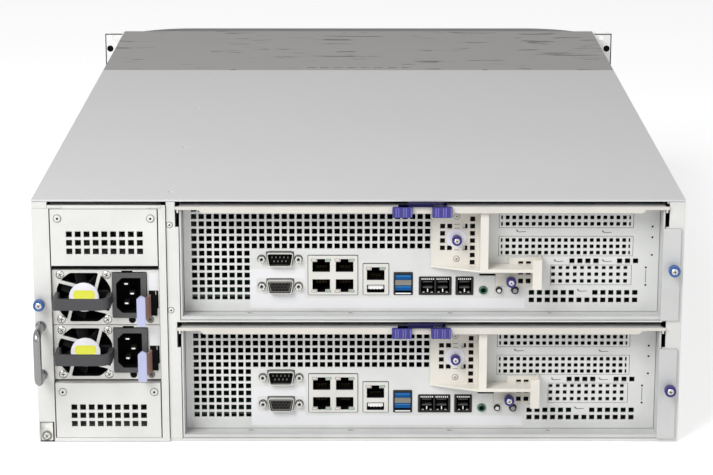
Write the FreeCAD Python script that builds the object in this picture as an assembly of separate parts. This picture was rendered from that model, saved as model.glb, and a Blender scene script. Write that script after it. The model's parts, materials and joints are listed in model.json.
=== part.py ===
"""Four-unit dual-controller storage server: chassis, power cage, two slide-out controller canisters.

Millimetres. X runs to the right seen from the rear, Y runs from the rear face to the front bezel, Z is up.
Solids are drawn with the rear face of the chassis at Y = 0 and moved to the part's origin when they are
written: the origin is the middle of the footprint, on the underside of the base.
"""

import FreeCAD
import Part
import math
import os

V = FreeCAD.Vector

# ---- chassis -------------------------------------------------------------------------------------------
BODY_WIDTH = 446.0
BODY_HEIGHT = 174.0
BODY_LENGTH = 672.0
BASE_SHEET = 2.0
WALL_SHEET = 1.6
COVER_SHEET = 1.3
REAR_COVER_LENGTH = 473.3
COVER_SEAM = 0.4
TOP_FLANGE = 12.0
GAP = 0.4                     # clearance round parts that slide or drop in
SEAT = 0.3                    # clearance between parts that rest on one another
DIMPLE_X = -129.5             # row of locating dimples along the rear cover
DIMPLE_DEPTHS = (23.0, 164.0, 307.5, 431.0)
DIMPLE_RADIUS = 2.0
DIMPLE_SINK = 0.5

# ---- rack ears -----------------------------------------------------------------------------------------
EAR_WING = 18.3               # how far each ear stands out past the body: 482.6 over both ears
EAR_SHEET = 2.0
EAR_TOP_DROP = 1.4            # from the top of the cover to the ear's top edge
EAR_FOOT = 0.5
EAR_SETBACK = 4.0
EAR_LEG = 58.0
EAR_HOLE_INSET = 8.75         # from the ear's outer edge to the middle of its slots
EAR_HOLE_PITCH_Z = 101.6
EAR_SLOT_WIDTH = 6.8
EAR_SLOT_LENGTH = 10.3
EAR_PIN_HOLE = 6.2
EAR_PIN_HOLE_INSET = 4.5
EAR_PIN_HOLE_DROP = 14.3
EAR_WINDOW = 4.5              # side of the square catch window near the top
EAR_WINDOW_INSET = 9.4
EAR_WINDOW_DROP = 3.9
EAR_TAB = (2.8, 1.4)          # width, height of the hooks on the ear's top edge

# ---- front: drives and bezel ---------------------------------------------------------------------------
BEZEL_DEPTH = 35.0
BEZEL_WIDTH = 438.0
BEZEL_RAMP = 58.0
BEZEL_END = 6.0
BEZEL_DROP = 3.2
BEZEL_WALL = 2.5
BEZEL_RIM = 17.0
GRILLE_SHEET = 2.0
GRILLE_SLOTS = 18
GRILLE_BAR = 3.0
DRIVE_COLUMNS = 4
DRIVE_ROWS = 6
CARRIER_LENGTH = 176.0
CARRIER_GAP = 0.5
CARRIER_SETBACK = 2.0         # between a carrier's end and the cage's rear edge
CAGE_SHEET = 1.2
MIDPLANE_SHEET = 3.0
MIDPLANE_GAP = 7.0
DRIVE_ROOM = 52.0             # between the canisters and the drives, for the midplane and its connectors

# ---- bay divider ---------------------------------------------------------------------------------------
DIVIDER_LEFT = -131.2
BAY_LEFT = -122.8
BAY_RIGHT = 210.1
DIVIDER_WEB = 4.6             # from the left face of the divider to the right face of its box
SHELF_SHEET = 1.1
SHELF_CLEARANCE = 1.2         # over the lower canister's lid
COVER_CLEARANCE = 0.8         # over the upper canister's lid
ARM_NOTCH = 2.4               # width of the notches that let the lever arms pass
ARM_NOTCH_CLEARANCE = 0.8     # between the screw flange's top and the notch
DIVIDER_SCREW_INSET = 2.2
DIVIDER_SCREW_RISES = (7.1, 67.8)
DIVIDER_SCREW_RADIUS = 2.0
EAR_SCREW_RADIUS = 3.0
EAR_SCREW_HEAD = 1.2
EAR_SCREW_SHARES = (0.2, 0.5, 0.8)

# ---- power column --------------------------------------------------------------------------------------
COLUMN_LENGTH = 330.0
COLUMN_FACE = 1.6
COLUMN_SHEET = 1.0
STRIP_WIDTH = 11.8
COLUMN_TOP_GAP = 2.4          # dark gap between the column's face and the cover
COLUMN_TOP_RIM = 2.3
COLUMN_SHOULDER_DROP = 2.7    # the face's left strip ends this far under its top
SHELF_SETBACK = 6.0           # the column's shelves start this far behind its face
FILLER_SHEET = 1.2
FILLER_FLANGE = 8.0
FILLER_RAISE = 2.3            # gap between the upper shelf and the upper blank
FILLER_SIDE_GAP = 0.3
FILLER_COLUMNS = 9
FILLER_ROWS = 3
FILLER_PITCH = 6.05
FILLER_HOLE = 4.1
FILLER_GRID_FROM_LEFT = 13.0
FILLER_GRID_DROP = 17.6
FILLER_SCREW_DROP = 6.45
FILLER_SCREW_INSETS = (5.3, 4.7)
FILLER_SCREW_RADIUS = 2.7
HANDLE_REACH = 26.0
HANDLE_ROD = 5.6
HANDLE_BEND = 5.2
HANDLE_FOOT = (3.8, 2.0)      # radius and height of the handle's round feet
HANDLE_LOW = 49.6
HANDLE_HIGH = 84.5
KNOB_RADIUS = 4.0
KNOB_LENGTH = 9.0
KNOB_NECK = 0.3               # share of the knob's length that is its neck
KNOB_NECK_SHARE = 0.7         # neck radius over knob radius
SCREW_HEAD_HEIGHT = 0.8
SHANK_RADIUS = 1.5
SHANK_HOLE = 2.1
SHANK_LENGTH = 6.0
COLUMN_KNOB_RISE = 101.3
TERMINAL_WIDTH = 8.4
TERMINAL_Z = (1.6, 14.6)
TERMINAL_SHEET = 1.2
TERMINAL_SCREW_RISE = 5.2
TERMINAL_SCREW_RADIUS = 2.9
TERMINAL_SCREW_HEAD = 1.6

# ---- power supplies ------------------------------------------------------------------------------------
PSU_WIDTH = 73.6
PSU_HEIGHT = 39.2
PSU_LENGTH = 185.0
PSU_RECESS = 2.0
PSU_GAP = 0.5
PSU_SIDE_GAP = 0.5
FAN_FROM_LEFT = 21.6
FAN_BORE = 19.6
FAN_FLATS = (18.6, 17.4)      # half width and half height that trim the fan's round bore
FAN_DEPTH = 16.0
FAN_HUB = 9.6
FAN_TIP_GAP = 0.8
FAN_SHAFT = 2.0
FAN_BLADES = 7
FAN_BLADE = (1.0, 9.0)        # thickness and chord of a blade
FAN_BLADE_PITCH = 42.0
FAN_SCREW_PITCH = 32.0
FAN_SCREW_RADIUS = 3.0
GUARD_SHEET = 1.0
GUARD_SPOKE = 2.2
GUARD_SPOKES = 4
GUARD_SPOKE_TURN = 75.0
GUARD_SPOKE_OFFSET = 6.5      # spokes run past the hub's middle, not through it
GUARD_HUB = 10.3
INLET_FROM_LEFT = 41.4
INLET_SIZE = (23.5, 32.1)
INLET_RISE = 5.2
INLET_STAND = 1.6
INLET_DEPTH = 22.0
INLET_MOUTH = (16.3, 25.2)
INLET_MOUTH_LEFT = 2.7
INLET_MOUTH_DEPTH = 16.0
INLET_PIN = (4.0, 2.0)        # width and height of each flat pin
INLET_PIN_OFFSET = (2.0, 7.0)
INLET_PIN_SINK = 4.8
PSU_GRIP_REACH = 20.0
PSU_GRIP_HEIGHT = 7.5
PSU_GRIP_THICKNESS = 3.6
PSU_GRIP_LEG = 2.9
LATCH_REACH = 12.0
LATCH_HEIGHT = 22.0
LATCH_WIDTH = 6.0
LATCH_RISE = 2.0
LATCH_ROOT = 1.4              # from the inlet's side to the tab's upright root
LATCH_SHEET = 1.6

# ---- controller canisters ------------------------------------------------------------------------------
TRAY_SHEET = 1.2
TRAY_HEM = (6.0, 2.4)         # depth and height of the doubled rear edge
LID_SETBACK = 9.0
RAIL_DROP = 2.5               # from the lid's top to its stepped-down rear rail
PANEL_SHEET = 1.0
PANEL_RECESS = 17.0
BOARD_SHEET = 1.6
BOARD_RISE = 11.6
BOARD_SETBACK = 40.0          # from the board's inner edge to the canister's
BOARD_MARGIN = 2.0
STANDOFF_SIDE = 5.0
STANDOFF_INSET = 12.0
STANDOFF_FIRST = 30.0         # behind the rear panel
FLANGE_WIDTH = 11.1
FLANGE_DROP = 18.0            # from the lid's top to the screw flange's top
FLANGE_KNOB_RISE = 37.2
FLANGE_KNOB_INSET = 4.7       # from the flange's outer edge to the knob's axis

# main vent: full-width rows over a narrow block of rows at the left
VENT_SLOTS = 2                # slots side by side in a full-width row
VENT_SLOT_LENGTH = 81.85
VENT_LOW_LENGTH = 40.17       # of the single slots in the lower block
VENT_PITCH_X = 83.36
VENT_PITCH_Z = 5.25
VENT_HOLE = 3.7
VENT_LEFT = -115.45
VENT_DROP = 8.8               # from the lid's top to the middle of the first row
VENT_FLOOR = 11.0             # no row's middle is lower than this

# lever across the top of the canister's rear
LEVER_SHEET = 1.2
LEVER_OVERHANG = 2.2          # the bar's ends pass this far over the bay's edges
LEVER_BAR = 2.2               # height of the bar's narrow ends
LEVER_LIP = 2.4               # how much lower the wide middle hangs
LEVER_LIP_INSET = 16.0
LEVER_LIP_RUN = 2.0           # slope between the bar's ends and its middle
LEVER_PIVOT_DEPTH = 26.0
LEVER_PIVOT_DROP = 6.9        # below the rear rail's top
LEVER_PIN = 2.0
LEVER_PIN_END = 1.0           # how far the pins reach in past the tray's walls
PAD_WIDTH = 13.8
PAD_HEIGHT = 7.4
PAD_CENTRES = (30.1, 57.2)
PAD_DEPTH = 2.8
PAD_HOOK_INSET = 4.0
PAD_HOOK_SETBACK = 0.6
TONGUE = 1.2
TONGUE_REACHES = (8.0, 10.0)  # how far each tongue runs past the middle of the pair
PAD_TRAVEL = 2.5

# ports, from the canister's underside
PORT_RISE = 13.5
PORT_STAND = 0.8              # how far connector faces stand out of the panel
PORT_DEPTH = 22.0
JACK_WIDTH = 12.2
JACK_HEIGHT = 7.2
JACK_NOTCH = (5.6, 2.0)
JACK_BORE = 14.0
JACK_FLOOR = 1.9              # metal under the lower jacks
JACK_DROP = 11.6              # from the block's top to the floor of the upper jacks
JACK_INSET = 2.9
SHELL_SIZE = (18.9, 9.8)
SHELL_TAPER = 1.6
SHELL_SHEET = 0.9
SHELL_STAND = 4.0
SHELL_BACK = (31.0, 6.0)      # width of the body behind the shells, and its rise over the upper one
JACK_SCREW_OFFSET = 12.8
JACK_SCREW_RADIUS = 2.4
JACK_SCREW_STAND = 3.0
DISPLAY_CENTRE_X = -54.2
DISPLAY_RISES = (19.7, 39.2)
NETWORK_X = (-34.7, -0.5)
NETWORK_TOP = 41.6
COMBO_X = (3.5, 21.0)
COMBO_TOP = 35.7
COMBO_JACK_LEFT = 2.5
COMBO_USB_TOP = 22.3          # where the lower socket's body ends and the jack's starts
USB_X = (24.9, 37.6)
USB_TOP = 29.3
USB_OPENING = 5.4
USB_DEPTH = 8.0
USB_TONGUE = (2.8, 4.6)
USB_RIM = 0.6
USB_FLOORS = (1.0, 8.8)       # of the lower and the upper opening, above the port row's rise
COMBO_USB_FLOOR = 1.6
STORAGE_PAIR_X = (42.4, 64.5)
STORAGE_SINGLE_X = (67.9, 79.7)
STORAGE_TOP = 26.1
STORAGE_WALL = (1.2, 1.4)     # shell beside a socket, and above and below it
AUDIO_X = 86.9
FN_X = 97.8
POWER_X = 108.9
SMALL_ROW_RISE = 16.7
AUDIO_RADIUS = 2.9
AUDIO_BORE = 1.75
AUDIO_STAND = 1.8
AUDIO_BODY = (7.6, 14.0, 4.0)  # width, depth behind the panel's face, height over the bore
POWER_RADIUS = 2.5
FN_RADIUS = 2.1
BUTTON_STAND = 2.4
BUTTON_STEM = 3.0             # behind the panel
BUTTON_COLLAR = (0.8, 1.0)    # how much wider than the button, and its thickness

# riser bracket and slot covers
BRACKET_SHEET = 1.2
BRACKET_LEFT = 50.4
BEAM_X = (83.7, 89.3)
BRACKET_LEDGE = 34.7
BRACKET_POST_X = (119.9, 126.3)
BRACKET_POST_Z = (21.3, 42.4)
BRACKET_TAB_X = (95.3, 121.2)
BRACKET_TAB_Z = (20.2, 40.3)
BRACKET_TAB_STEP = (9.0, 0.45)  # width and relative height of the tab's cut-away corner
BRACKET_HOLE = 3.4
BRACKET_HOLE_PITCH = 5.18
BRACKET_HOLE_TOP = 11.3
BRACKET_HOLE_ROWS = {7.8: (1, 2, 3, 4), 12.7: (1, 4), 23.3: (1, 4), 28.5: (0, 1, 2, 3, 4, 5, 6)}
BRACKET_HOLE_MARGIN = 2.0     # least distance from a hole's middle to the plate's lower edge
TAB_HOLE_COLUMNS = (8.6, 3.3)  # from the tab's right edge
TAB_HOLE_TOP = 4.2
TAB_HOLE_PITCH = 6.25
TAB_HOLE_ROWS = 3
BRACKET_KNOBS = ((67.9, 54.4), (105.8, 24.5))
BRACKET_KNOB_RADIUS = 3.5
SLOT_COVER_X = (97.4, 189.9)
SLOT_1_DROP = 12.0            # from the lid's top to the top of the first slot cover
SLOT_1_HEIGHT = 9.8
SLOT_BARS = (6.8, 6.4)        # panel left below and above the second slot cover
SLOT_3_X = (133.6, 189.3)
SLOT_3_Z = (20.6, 34.6)
COVER_SLOT = 2.6
COVER_SLOT_PITCH = 4.55
COVER_SLOT_BAR = 2.0
COVER_MARGIN = 4.0
COVER_FLANGE = 8.0
SIDE_ROW_HEIGHT = 3.5
SIDE_ROWS = ((9.5, (118.6, 156.4)), (9.5, (157.4, 194.2)), (14.9, (118.6, 150.0)), (14.9, (162.7, 194.2)),
             (37.7, (146.3, 166.6)), (37.7, (179.3, 194.0)))
CARD_EDGE_SLOT = ((84.0, 95.3), (27.0, 28.5))

# ---- worked out ----------------------------------------------------------------------------------------
HALF = BODY_WIDTH / 2
COVER_UNDERSIDE = BODY_HEIGHT - COVER_SHEET
REAR_Y = -(BODY_LENGTH + BEZEL_DEPTH - HANDLE_REACH) / 2
EAR_SPAN = BODY_WIDTH + 2 * EAR_WING
EAR_HEIGHT = BODY_HEIGHT - EAR_TOP_DROP
EAR_HOLE_PITCH_X = EAR_SPAN - 2 * EAR_HOLE_INSET
CANISTER_LENGTH = BODY_LENGTH - EAR_SETBACK - CARRIER_LENGTH - DRIVE_ROOM
BOARD_LENGTH = CANISTER_LENGTH - BOARD_SETBACK
BAY_FITTINGS = 2 * GAP + BASE_SHEET + SHELF_CLEARANCE + SHELF_SHEET + COVER_CLEARANCE
CANISTER_HEIGHT = (COVER_UNDERSIDE - BAY_FITTINGS) / 2
CANISTER_PITCH = CANISTER_HEIGHT + SHELF_CLEARANCE + SHELF_SHEET + GAP
RAIL_TOP = CANISTER_HEIGHT - RAIL_DROP
FLANGE_TOP = CANISTER_HEIGHT - FLANGE_DROP
ARM_NOTCH_BOTTOM = FLANGE_TOP + ARM_NOTCH_CLEARANCE
LEVER_PIVOT = (LEVER_PIVOT_DEPTH, RAIL_TOP - LEVER_PIVOT_DROP)
SLOT_1_Z = (CANISTER_HEIGHT - SLOT_1_DROP - SLOT_1_HEIGHT, CANISTER_HEIGHT - SLOT_1_DROP)
SLOT_2_Z = (SLOT_3_Z[1] + SLOT_BARS[0], SLOT_1_Z[0] - SLOT_BARS[1])
CANISTER_BASE = {"a": BASE_SHEET + GAP, "b": BASE_SHEET + GAP + CANISTER_PITCH}
SHELF_TOP = CANISTER_BASE["b"] - GAP
TRAY_LEFT = BAY_LEFT + SEAT + SEAT / 2
TRAY_RIGHT = BAY_RIGHT - SEAT - SEAT / 2
TRAY_FRONT_EDGE = 0.6
LID_UNDERSIDE = CANISTER_HEIGHT - TRAY_SHEET
COLUMN_LEFT = -HALF + STRIP_WIDTH
COLUMN_RIGHT = COLUMN_LEFT + PSU_WIDTH + 2 * PSU_SIDE_GAP
COLUMN_FLOOR = BASE_SHEET + SEAT + COLUMN_SHEET - GAP
COLUMN_FACE_TOP = COVER_UNDERSIDE - COLUMN_TOP_GAP
COLUMN_CEILING = COLUMN_FACE_TOP - COLUMN_TOP_RIM
SUPPLY_ROOM = 2 * PSU_HEIGHT + 3 * PSU_GAP + 2 * COLUMN_SHEET + SEAT + FILLER_RAISE
FILLER_HEIGHT = (COLUMN_CEILING - GAP - COLUMN_FLOOR - SEAT - SUPPLY_ROOM) / 2
LOWER_SHELF = COLUMN_FLOOR + SEAT + FILLER_HEIGHT + PSU_GAP
PSU_BASE = {2: LOWER_SHELF + COLUMN_SHEET + SEAT}
PSU_BASE[1] = PSU_BASE[2] + PSU_HEIGHT + PSU_GAP
UPPER_SHELF = PSU_BASE[1] + PSU_HEIGHT + PSU_GAP
PSU_LEFT = COLUMN_LEFT + PSU_SIDE_GAP
HANDLE_X = -HALF + STRIP_WIDTH / 3
DRIVE_BAY_START = REAR_COVER_LENGTH + COVER_SEAM
PANEL_LEFT = TRAY_LEFT + TRAY_SHEET + SEAT
PANEL_RIGHT = TRAY_RIGHT - TRAY_SHEET - SEAT
PANEL_TOP = LID_UNDERSIDE - SEAT
BRACKET_BACK = PANEL_RECESS - SEAT
BRACKET_FRONT = 1.0
LEVER_BACK = -0.6
LEVER_FRONT = LEVER_BACK - LEVER_SHEET


# ---- drawing helpers -----------------------------------------------------------------------------------
def block(x, y, z):
    """A box from three (low, high) spans."""
    return Part.makeBox(x[1] - x[0], y[1] - y[0], z[1] - z[0], V(x[0], y[0], z[0]))


def rod_y(x, z, radius, y):
    """A round bar along Y from y[0] to y[1]."""
    return Part.makeCylinder(radius, y[1] - y[0], V(x, y[0], z), V(0, 1, 0))


def rod_x(y, z, radius, x):
    """A round bar along X from x[0] to x[1]."""
    return Part.makeCylinder(radius, x[1] - x[0], V(x[0], y, z), V(1, 0, 0))


def prism_y(x, z, radius, y):
    """A many-sided bar along Y from y[0] to y[1]."""
    return Part.Face(polygon_xz(x, z, radius, y[0])).extrude(V(0, y[1] - y[0], 0))


def wire(points):
    """A closed polygon through the points."""
    return Part.makePolygon([V(*p) for p in points] + [V(*points[0])])


def rect_xz(x, z, y=0.0):
    """A rectangle in the XZ plane."""
    return wire([(x[0], y, z[0]), (x[1], y, z[0]), (x[1], y, z[1]), (x[0], y, z[1])])


def polygon_xz(x, z, radius, y=0.0, sides=12):
    """A regular polygon in the XZ plane, for small heads, knobs and clearance holes."""
    turns = [2 * math.pi * i / sides for i in range(sides)]
    return wire([(x + radius * math.cos(turn), y, z + radius * math.sin(turn)) for turn in turns])


def sheet_xz(outline, holes, y, thickness):
    """A flat sheet facing the rear: an outline wire and its hole wires at Y = 0, pushed along Y."""
    face = Part.makeFace([outline] + holes, "Part::FaceMakerBullseye")
    solid = face.extrude(V(0, thickness, 0))
    solid.translate(V(0, y, 0))
    return solid


def sheet_yz(points, x, thickness, holes=()):
    """A flat sheet facing sideways, from (y, z) points and (y, z, radius) holes."""
    wires = [wire([(x, y, z) for y, z in points])]
    for y, z, radius in holes:
        wires.append(Part.Wire([Part.makeCircle(radius, V(x, y, z), V(1, 0, 0))]))
    return Part.makeFace(wires, "Part::FaceMakerBullseye").extrude(V(thickness, 0, 0))


def fuse(shapes):
    """One solid from touching or overlapping ones."""
    solid = shapes[0].multiFuse(shapes[1:]) if len(shapes) > 1 else shapes[0]
    return solid.removeSplitter()


def square(x, z, side):
    """A square hole wire about a centre in the XZ plane."""
    return rect_xz((x - side / 2, x + side / 2), (z - side / 2, z + side / 2))


def widen(span, margin):
    """A span made longer by a margin at each end."""
    return (span[0] - margin, span[1] + margin)


def mirrored(shape):
    """The shape reflected left to right about the chassis's middle plane."""
    return shape.mirror(V(0, 0, 0), V(1, 0, 0))


def thumbscrew(x, z, seat_y, radius):
    """A captive screw: stepped knob, neck and shank along Y, its head towards the rear."""
    under = seat_y - SEAT
    step = under - KNOB_NECK * KNOB_LENGTH
    knob = prism_y(x, z, radius, (under - KNOB_LENGTH, step))
    neck = prism_y(x, z, KNOB_NECK_SHARE * radius, (step, under))
    stem = prism_y(x, z, SHANK_RADIUS, (under, seat_y + SHANK_LENGTH))
    return fuse([knob, neck, stem])


def screw_head(x, z, seat_y, radius):
    """A low screw head seated on a rear-facing surface."""
    return prism_y(x, z, radius, (seat_y - SCREW_HEAD_HEIGHT, seat_y))


# ---- chassis -------------------------------------------------------------------------------------------
def rear_strip_outline(inner, outer, notch_side):
    """A rear strip's outline with one lever notch per canister, open to the bay."""
    deep = inner + notch_side * ARM_NOTCH
    low_a = CANISTER_BASE["a"] + ARM_NOTCH_BOTTOM
    low_b = CANISTER_BASE["b"] + ARM_NOTCH_BOTTOM
    top = COVER_UNDERSIDE - SEAT
    corners = [(inner, 0), (inner, low_a), (deep, low_a), (deep, SHELF_TOP), (inner, SHELF_TOP),
               (inner, low_b), (deep, low_b), (deep, top), (outer, top), (outer, 0)]
    return wire([(x, 0, z) for x, z in corners])


def knob_hole(x, z):
    """A clearance hole for a captive screw's shank."""
    return polygon_xz(x, z, SHANK_HOLE)


def chassis_shell():
    """Base, side walls, their top flanges and the rear strips."""
    base = block((-HALF, HALF), (GAP, BODY_LENGTH), (0, BASE_SHEET))
    wall_top = COVER_UNDERSIDE - SEAT
    flange_z = (wall_top - WALL_SHEET, wall_top)
    left_x = (-HALF, COLUMN_LEFT - COLUMN_SHEET - GAP)
    right = block((HALF - WALL_SHEET, HALF), (0, BODY_LENGTH), (0, wall_top))
    left = block((-HALF, -HALF + WALL_SHEET), (GAP, BODY_LENGTH), (0, wall_top))
    flange_r = block((HALF - TOP_FLANGE, HALF), (WALL_SHEET, BODY_LENGTH), flange_z)
    flange_l = block(left_x, (GAP, BODY_LENGTH), flange_z)
    column_knob = knob_hole(HANDLE_X, COLUMN_KNOB_RISE)
    strip_l = sheet_xz(rect_xz(left_x, (0, wall_top)), [column_knob], GAP, WALL_SHEET)
    knob_x = TRAY_RIGHT + FLANGE_WIDTH - FLANGE_KNOB_INSET
    holes = [knob_hole(knob_x, base_z + FLANGE_KNOB_RISE) for base_z in CANISTER_BASE.values()]
    strip_r = sheet_xz(rear_strip_outline(BAY_RIGHT, HALF, 1), holes, 0, WALL_SHEET)
    return fuse([base, right, left, flange_r, flange_l, strip_l, strip_r])


def bay_divider():
    """Upright box between the power column and the canisters, with its rear strip and the bay shelf."""
    top = COVER_UNDERSIDE - SEAT
    low = BASE_SHEET + SEAT / 3
    strip = sheet_xz(rear_strip_outline(BAY_LEFT, DIVIDER_LEFT, -1), [], 0, WALL_SHEET)
    strip = strip.common(block((DIVIDER_LEFT, BAY_LEFT), (0, WALL_SHEET), (low, top)))
    web_right = DIVIDER_LEFT + DIVIDER_WEB
    depth = (WALL_SHEET / 2, CANISTER_LENGTH)
    left = block((DIVIDER_LEFT, DIVIDER_LEFT + WALL_SHEET), depth, (low, top))
    right = block((web_right, web_right + CAGE_SHEET), depth, (low, top))
    floor = block((DIVIDER_LEFT, web_right + CAGE_SHEET), depth, (low, low + CAGE_SHEET))
    shelf = block((web_right, HALF - WALL_SHEET - SEAT), (WALL_SHEET + SEAT, CANISTER_LENGTH),
                  (SHELF_TOP - SHELF_SHEET, SHELF_TOP))
    lip = block((BAY_LEFT - ARM_NOTCH, BAY_RIGHT - SEAT), (0, WALL_SHEET + SEAT),
                (SHELF_TOP - SHELF_SHEET, SHELF_TOP))
    return fuse([strip, left, right, floor, shelf, lip])


def top_cover_rear():
    """Removable rear top cover with a row of locating dimples over the bay divider."""
    plate = block((-HALF, HALF), (0, REAR_COVER_LENGTH), (COVER_UNDERSIDE, BODY_HEIGHT))
    for depth in DIMPLE_DEPTHS:
        dimple = Part.Face(polygon_xz(DIMPLE_X, 0, DIMPLE_RADIUS)).extrude(V(0, DIMPLE_SINK, 0))
        dimple.rotate(V(DIMPLE_X, 0, 0), V(1, 0, 0), 90)
        dimple.translate(V(0, depth, BODY_HEIGHT - DIMPLE_SINK))
        plate = plate.cut(dimple)
    return plate


def top_cover_front():
    """Fixed cover over the drive bay."""
    return block((-HALF, HALF), (DRIVE_BAY_START, BODY_LENGTH), (COVER_UNDERSIDE, BODY_HEIGHT))


def rack_ear_right():
    """Folded rack ear: a slotted front flange and a leg along the side wall."""
    front = BODY_LENGTH - EAR_SETBACK
    outer = EAR_SPAN / 2
    leg_x = (HALF + SEAT / 3, HALF + SEAT / 3 + WALL_SHEET)
    holes = []
    half_slot = EAR_SLOT_LENGTH / 2
    r = EAR_SLOT_WIDTH / 2
    x = EAR_HOLE_PITCH_X / 2
    straight = half_slot - r
    for side in (-1, 1):
        z = BODY_HEIGHT / 2 + side * EAR_HOLE_PITCH_Z / 2
        a, b = V(x - straight, 0, z + r), V(x + straight, 0, z + r)
        c, d = V(x + straight, 0, z - r), V(x - straight, 0, z - r)
        holes.append(Part.Wire([Part.makeLine(a, b), Part.Arc(b, V(x + half_slot, 0, z), c).toShape(),
                                Part.makeLine(c, d), Part.Arc(d, V(x - half_slot, 0, z), a).toShape()]))
    holes.append(polygon_xz(outer - EAR_PIN_HOLE_INSET, EAR_HEIGHT - EAR_PIN_HOLE_DROP, EAR_PIN_HOLE / 2))
    holes.append(square(outer - EAR_WINDOW_INSET, EAR_HEIGHT - EAR_WINDOW_DROP, EAR_WINDOW))
    sheet_y = (front - EAR_SHEET, front)
    flange = sheet_xz(rect_xz((leg_x[0], outer), (EAR_FOOT, EAR_HEIGHT)), holes, sheet_y[0], EAR_SHEET)
    leg = block(leg_x, (front - EAR_LEG, front), (EAR_FOOT, EAR_HEIGHT))
    tabs = [block((x, x + EAR_TAB[0]), sheet_y, (EAR_HEIGHT - EAR_SHEET / 2, EAR_HEIGHT + EAR_TAB[1]))
            for x in (outer - 2 * EAR_TAB[0], leg_x[0])]
    return fuse([flange, leg] + tabs)


def rack_ear_left():
    """The right ear's mirror image."""
    return mirrored(rack_ear_right())


def drive_cell():
    """Width of one column of the drive cage, and the cage's inner floor and ceiling."""
    width = (BODY_WIDTH - 2 * (WALL_SHEET + SEAT) - (DRIVE_COLUMNS + 1) * CAGE_SHEET) / DRIVE_COLUMNS
    return width, (BASE_SHEET + SEAT + CAGE_SHEET, COVER_UNDERSIDE - SEAT - CAGE_SHEET - WALL_SHEET)


def drive_cage():
    """Sheet cage with an upright partition between the columns of drives."""
    width, (floor, ceiling) = drive_cell()
    x_low = -HALF + WALL_SHEET + SEAT
    depth = (BODY_LENGTH - EAR_SETBACK - CARRIER_LENGTH, BODY_LENGTH - EAR_SETBACK)
    pieces = [block((x_low, -x_low), depth, (floor - CAGE_SHEET, floor)),
              block((x_low, -x_low), depth, (ceiling, ceiling + CAGE_SHEET))]
    for column in range(DRIVE_COLUMNS + 1):
        x = x_low + column * (width + CAGE_SHEET)
        pieces.append(block((x, x + CAGE_SHEET), depth, (floor - CAGE_SHEET, ceiling + CAGE_SHEET)))
    return fuse(pieces)


def drive_carriers():
    """One hot-swap carrier per opening, each a separate solid."""
    width, (floor, ceiling) = drive_cell()
    pitch = (ceiling - floor) / DRIVE_ROWS
    y = (BODY_LENGTH - EAR_SETBACK - CARRIER_LENGTH + CARRIER_SETBACK, BODY_LENGTH - EAR_SETBACK)
    carriers = []
    for column in range(DRIVE_COLUMNS):
        x = -HALF + WALL_SHEET + SEAT + CAGE_SHEET + column * (width + CAGE_SHEET)
        for row in range(DRIVE_ROWS):
            z = floor + row * pitch
            carriers.append(block((x + CARRIER_GAP, x + width - CARRIER_GAP), y,
                                  (z + CARRIER_GAP, z + pitch - CARRIER_GAP / 2)))
    return Part.makeCompound(carriers)


def midplane_board():
    """Backplane that the drives and the canisters plug into."""
    y = CANISTER_LENGTH + MIDPLANE_GAP
    side = HALF - WALL_SHEET - GAP
    return block((-side, side), (y, y + MIDPLANE_SHEET),
                 (BASE_SHEET + SEAT, COVER_UNDERSIDE - SEAT - WALL_SHEET - GAP))


def chassis_screws():
    """Screws in the divider strip and in both ear legs."""
    x = DIVIDER_LEFT + DIVIDER_SCREW_INSET
    heads = [screw_head(x, CANISTER_BASE["b"] + rise, 0, DIVIDER_SCREW_RADIUS)
             for rise in DIVIDER_SCREW_RISES]
    y = BODY_LENGTH - EAR_SETBACK - EAR_LEG / 2
    side = HALF + SEAT / 3 + WALL_SHEET
    for share in EAR_SCREW_SHARES:
        head = prism_y(0, 0, EAR_SCREW_RADIUS, (0, EAR_SCREW_HEAD))
        head.rotate(V(0, 0, 0), V(0, 0, 1), -90)
        head.translate(V(side, y, share * BODY_HEIGHT))
        heads += [head, mirrored(head)]
    return Part.makeCompound(heads)


# ---- bezel ---------------------------------------------------------------------------------------------
def bezel_profile(inset, z):
    """The bezel's plan outline: short ends, round shoulders that run into a flat middle."""
    half = BEZEL_WIDTH / 2 - inset
    back = BODY_LENGTH + SEAT if inset == 0 else BODY_LENGTH - 1.0
    end = BODY_LENGTH + BEZEL_END - inset
    front = BODY_LENGTH + BEZEL_DEPTH - inset
    run = BEZEL_RAMP - inset / 2
    rise = front - end
    radius = (run * run + rise * rise) / (2 * rise)
    lean = math.asin(run / radius) / 2
    flat = half - run
    mid = (flat + radius * math.sin(lean), front - radius * (1 - math.cos(lean)))
    right = Part.Arc(V(half, end, z), V(mid[0], mid[1], z), V(flat, front, z)).toShape()
    left = Part.Arc(V(-flat, front, z), V(-mid[0], mid[1], z), V(-half, end, z)).toShape()
    edges = [Part.makeLine(V(-half, back, z), V(half, back, z)),
             Part.makeLine(V(half, back, z), V(half, end, z)),
             right,
             Part.makeLine(V(flat, front, z), V(-flat, front, z)),
             left,
             Part.makeLine(V(-half, end, z), V(-half, back, z))]
    return Part.Face(Part.Wire(edges))


def bezel_window():
    """Spans of the bezel's front window."""
    half = BEZEL_WIDTH / 2 - BEZEL_RAMP - BEZEL_RIM / 2
    return (-half, half), (BEZEL_DROP + BEZEL_RIM, BODY_HEIGHT - BEZEL_DROP - BEZEL_RIM)


def bezel_frame():
    """Hollow moulded bezel, open at the back and windowed at the front."""
    z = (BEZEL_DROP, BODY_HEIGHT - BEZEL_DROP)
    outer = bezel_profile(0, z[0]).extrude(V(0, 0, z[1] - z[0]))
    inner = bezel_profile(BEZEL_WALL, z[0] + BEZEL_WALL).extrude(V(0, 0, z[1] - z[0] - 2 * BEZEL_WALL))
    x, window = bezel_window()
    opening = block(x, (BODY_LENGTH, BODY_LENGTH + BEZEL_DEPTH + 1), window)
    return outer.cut(inner).cut(opening)


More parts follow.
